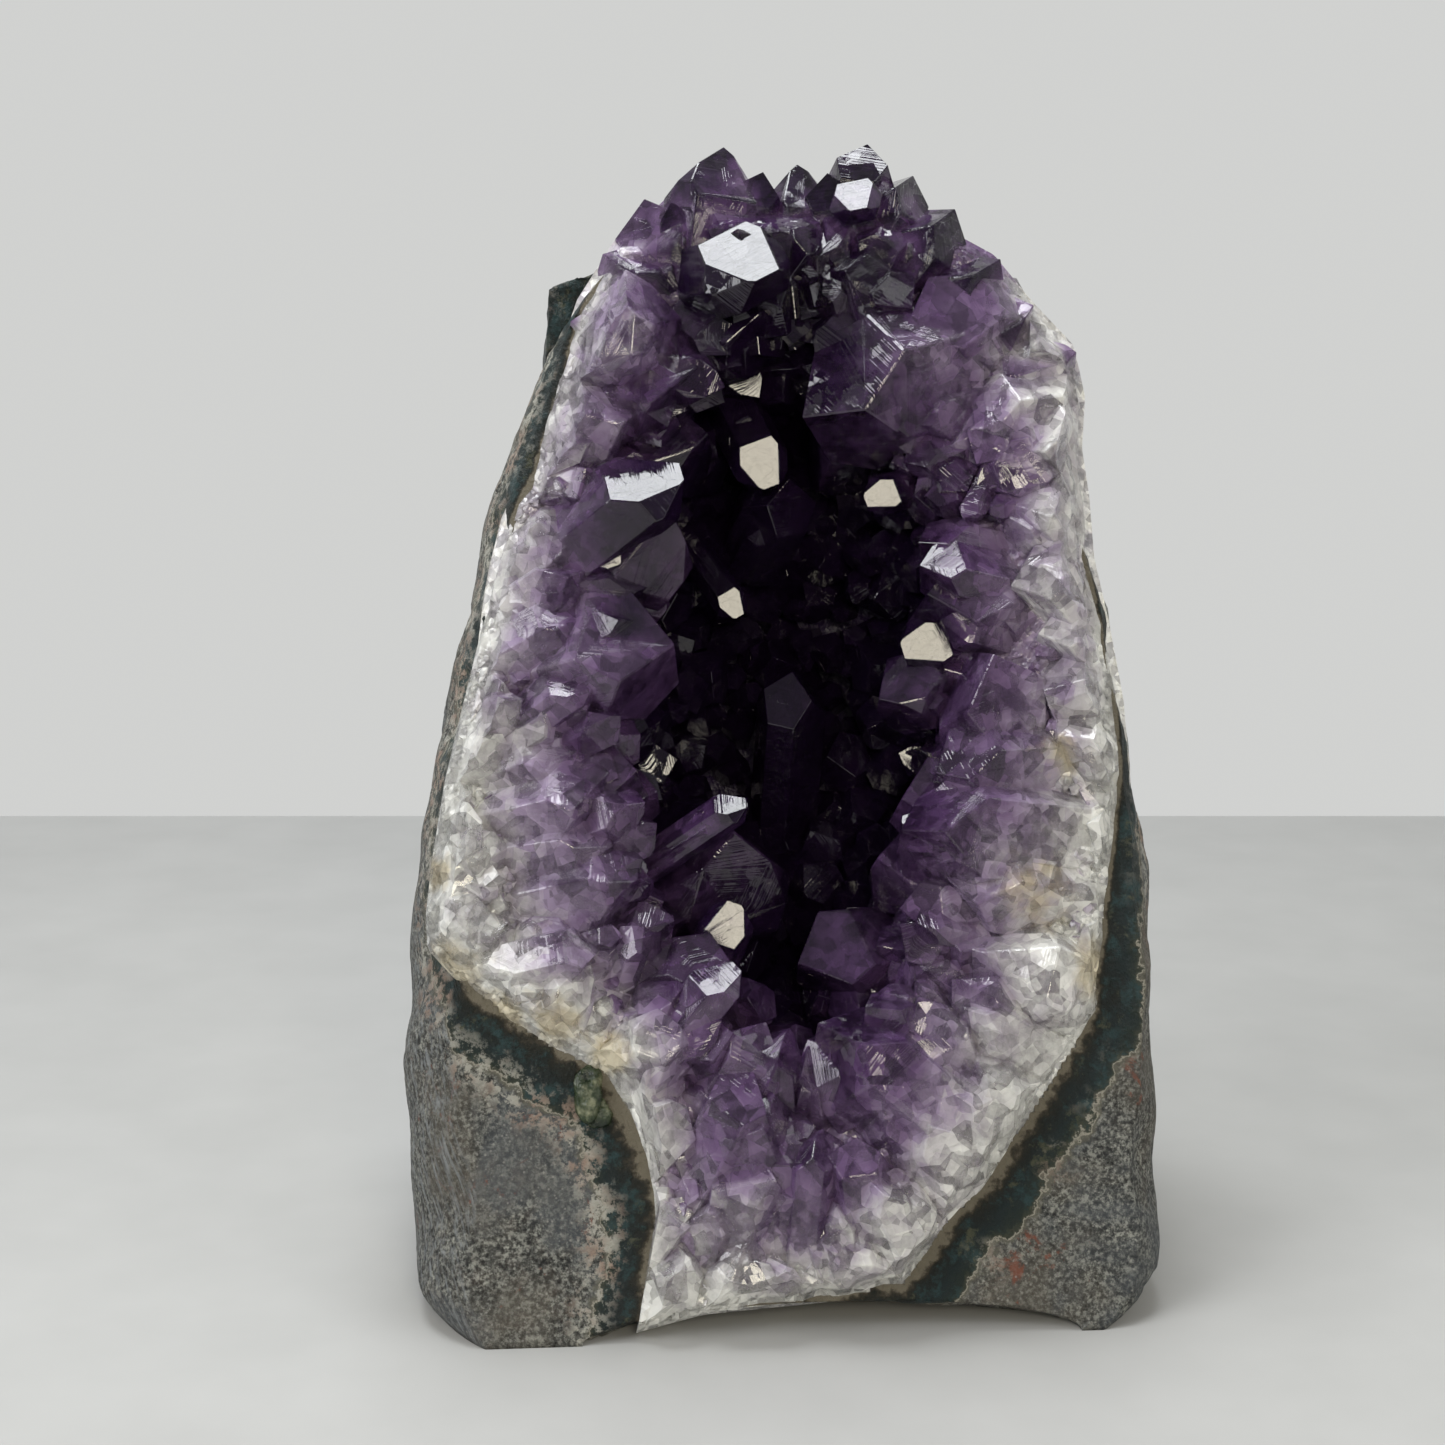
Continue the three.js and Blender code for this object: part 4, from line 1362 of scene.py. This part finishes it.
# Stage
def make_stage():
    """A table top that ends a little behind the object, with painted shade darkening it towards the back.
    """
    corners = [(x, y, z) for z in (-FLOOR_THICK, 0) for x, y in FLOOR_EDGE]
    floor = mesh_piece("floor", corners, tube_faces(2, len(FLOOR_EDGE)))
    n = Look("floor")
    # Painted shade: the table's colour darkens towards the back, standing in for the light falling off
    # there.
    painted_falloff_shade = n.ramp(n.scaled(n.split(n.place)["Y"], 3.0, 0.4), [(0.3, 1.0), (0.9, 0.84)])
    clouds = n.ramp(n.noise(60, 3), [(0.3, (0.42, 0.42, 0.41)), (0.7, (0.45, 0.45, 0.44))])
    n.set("Base Color", n.mix(1.0, clouds, painted_falloff_shade, "MULTIPLY"))
    n.set("Roughness", 0.6)
    floor.data.materials.append(n.material)


def area_light(name, place, target, size, power, colour):
    light = bpy.data.lights.new(name, "AREA")
    light.shape = "RECTANGLE"
    light.size, light.size_y = size
    light.energy = power
    light.color = colour
    lamp = link(name, light)
    lamp.location = place
    lamp.rotation_euler = (Vector(target) - Vector(place)).to_track_quat("-Z", "Y").to_euler()


def make_world():
    """Pale behind the object and dimmer in front of it, like a wall and an open room."""
    world = bpy.data.worlds.new("studio")
    world.use_nodes = True
    n = Nodes(world.node_tree)
    back = n.split(n.place.node.outputs["Generated"])["Y"]
    colour = n.ramp(n.scaled(back, 0.625, 0.5), [(0.0, ROOM_DARK), (1.0, ROOM_PALE)])
    n.join(colour, n.tree.nodes["Background"].inputs["Color"])
    bpy.context.scene.world = world


def make_light():
    make_world()
    for name, (place, size, power, colour) in LAMPS.items():
        area_light(name, place, LAMP_TARGET, size, power, colour)


def make_camera():
    camera = bpy.data.cameras.new("camera")
    camera.lens = CAMERA_LENS
    camera.sensor_width = 36
    camera.clip_start = 0.01
    holder = link("camera", camera)
    holder.location = CAMERA_PLACE
    holder.rotation_euler = (math.pi / 2 - CAMERA_DIP, 0, 0)
    bpy.context.scene.camera = holder


def main():
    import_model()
    cad_box = [list(corner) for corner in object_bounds()]
    make_camera()
    make_stage()
    make_light()
    rock = make_rock()
    bed = make_quartz_bed()
    wall = make_hollow_wall()
    amethyst, lavender, sugar = make_points()
    lump = make_lump()
    olive = make_olive()
    stone = basalt_material()
    pieces = [
        (rock, stone, "basalt"),
        (lump, stone, "basalt"),
        (olive, olive_material(), "basalt"),
        (bed, bed_material(), "milky_quartz"),
        (wall, wall_material(), "amethyst"),
        (amethyst, crystal_material("amethyst"), "amethyst"),
        (lavender, crystal_material("lavender_quartz"), "amethyst"),
        (sugar, crystal_material("clear_quartz"), "milky_quartz"),
    ]
    low, high = (np.array(corner) / MM for corner in cad_box)
    for piece, material, slot in pieces:
        piece.data.materials.clear()
        piece.data.materials.append(material)
        drop_specks(piece)
        set_coordinates(piece, np.clip(coordinates(piece), low + BOX_MARGIN, high - BOX_MARGIN))
        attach(piece, "root")
    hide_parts("basalt_matrix")
    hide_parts("quartz_band")
    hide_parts("amethyst_crust")
    bpy.context.view_layer.update()
    bpy.context.scene.view_settings.view_transform = "Standard"


main()
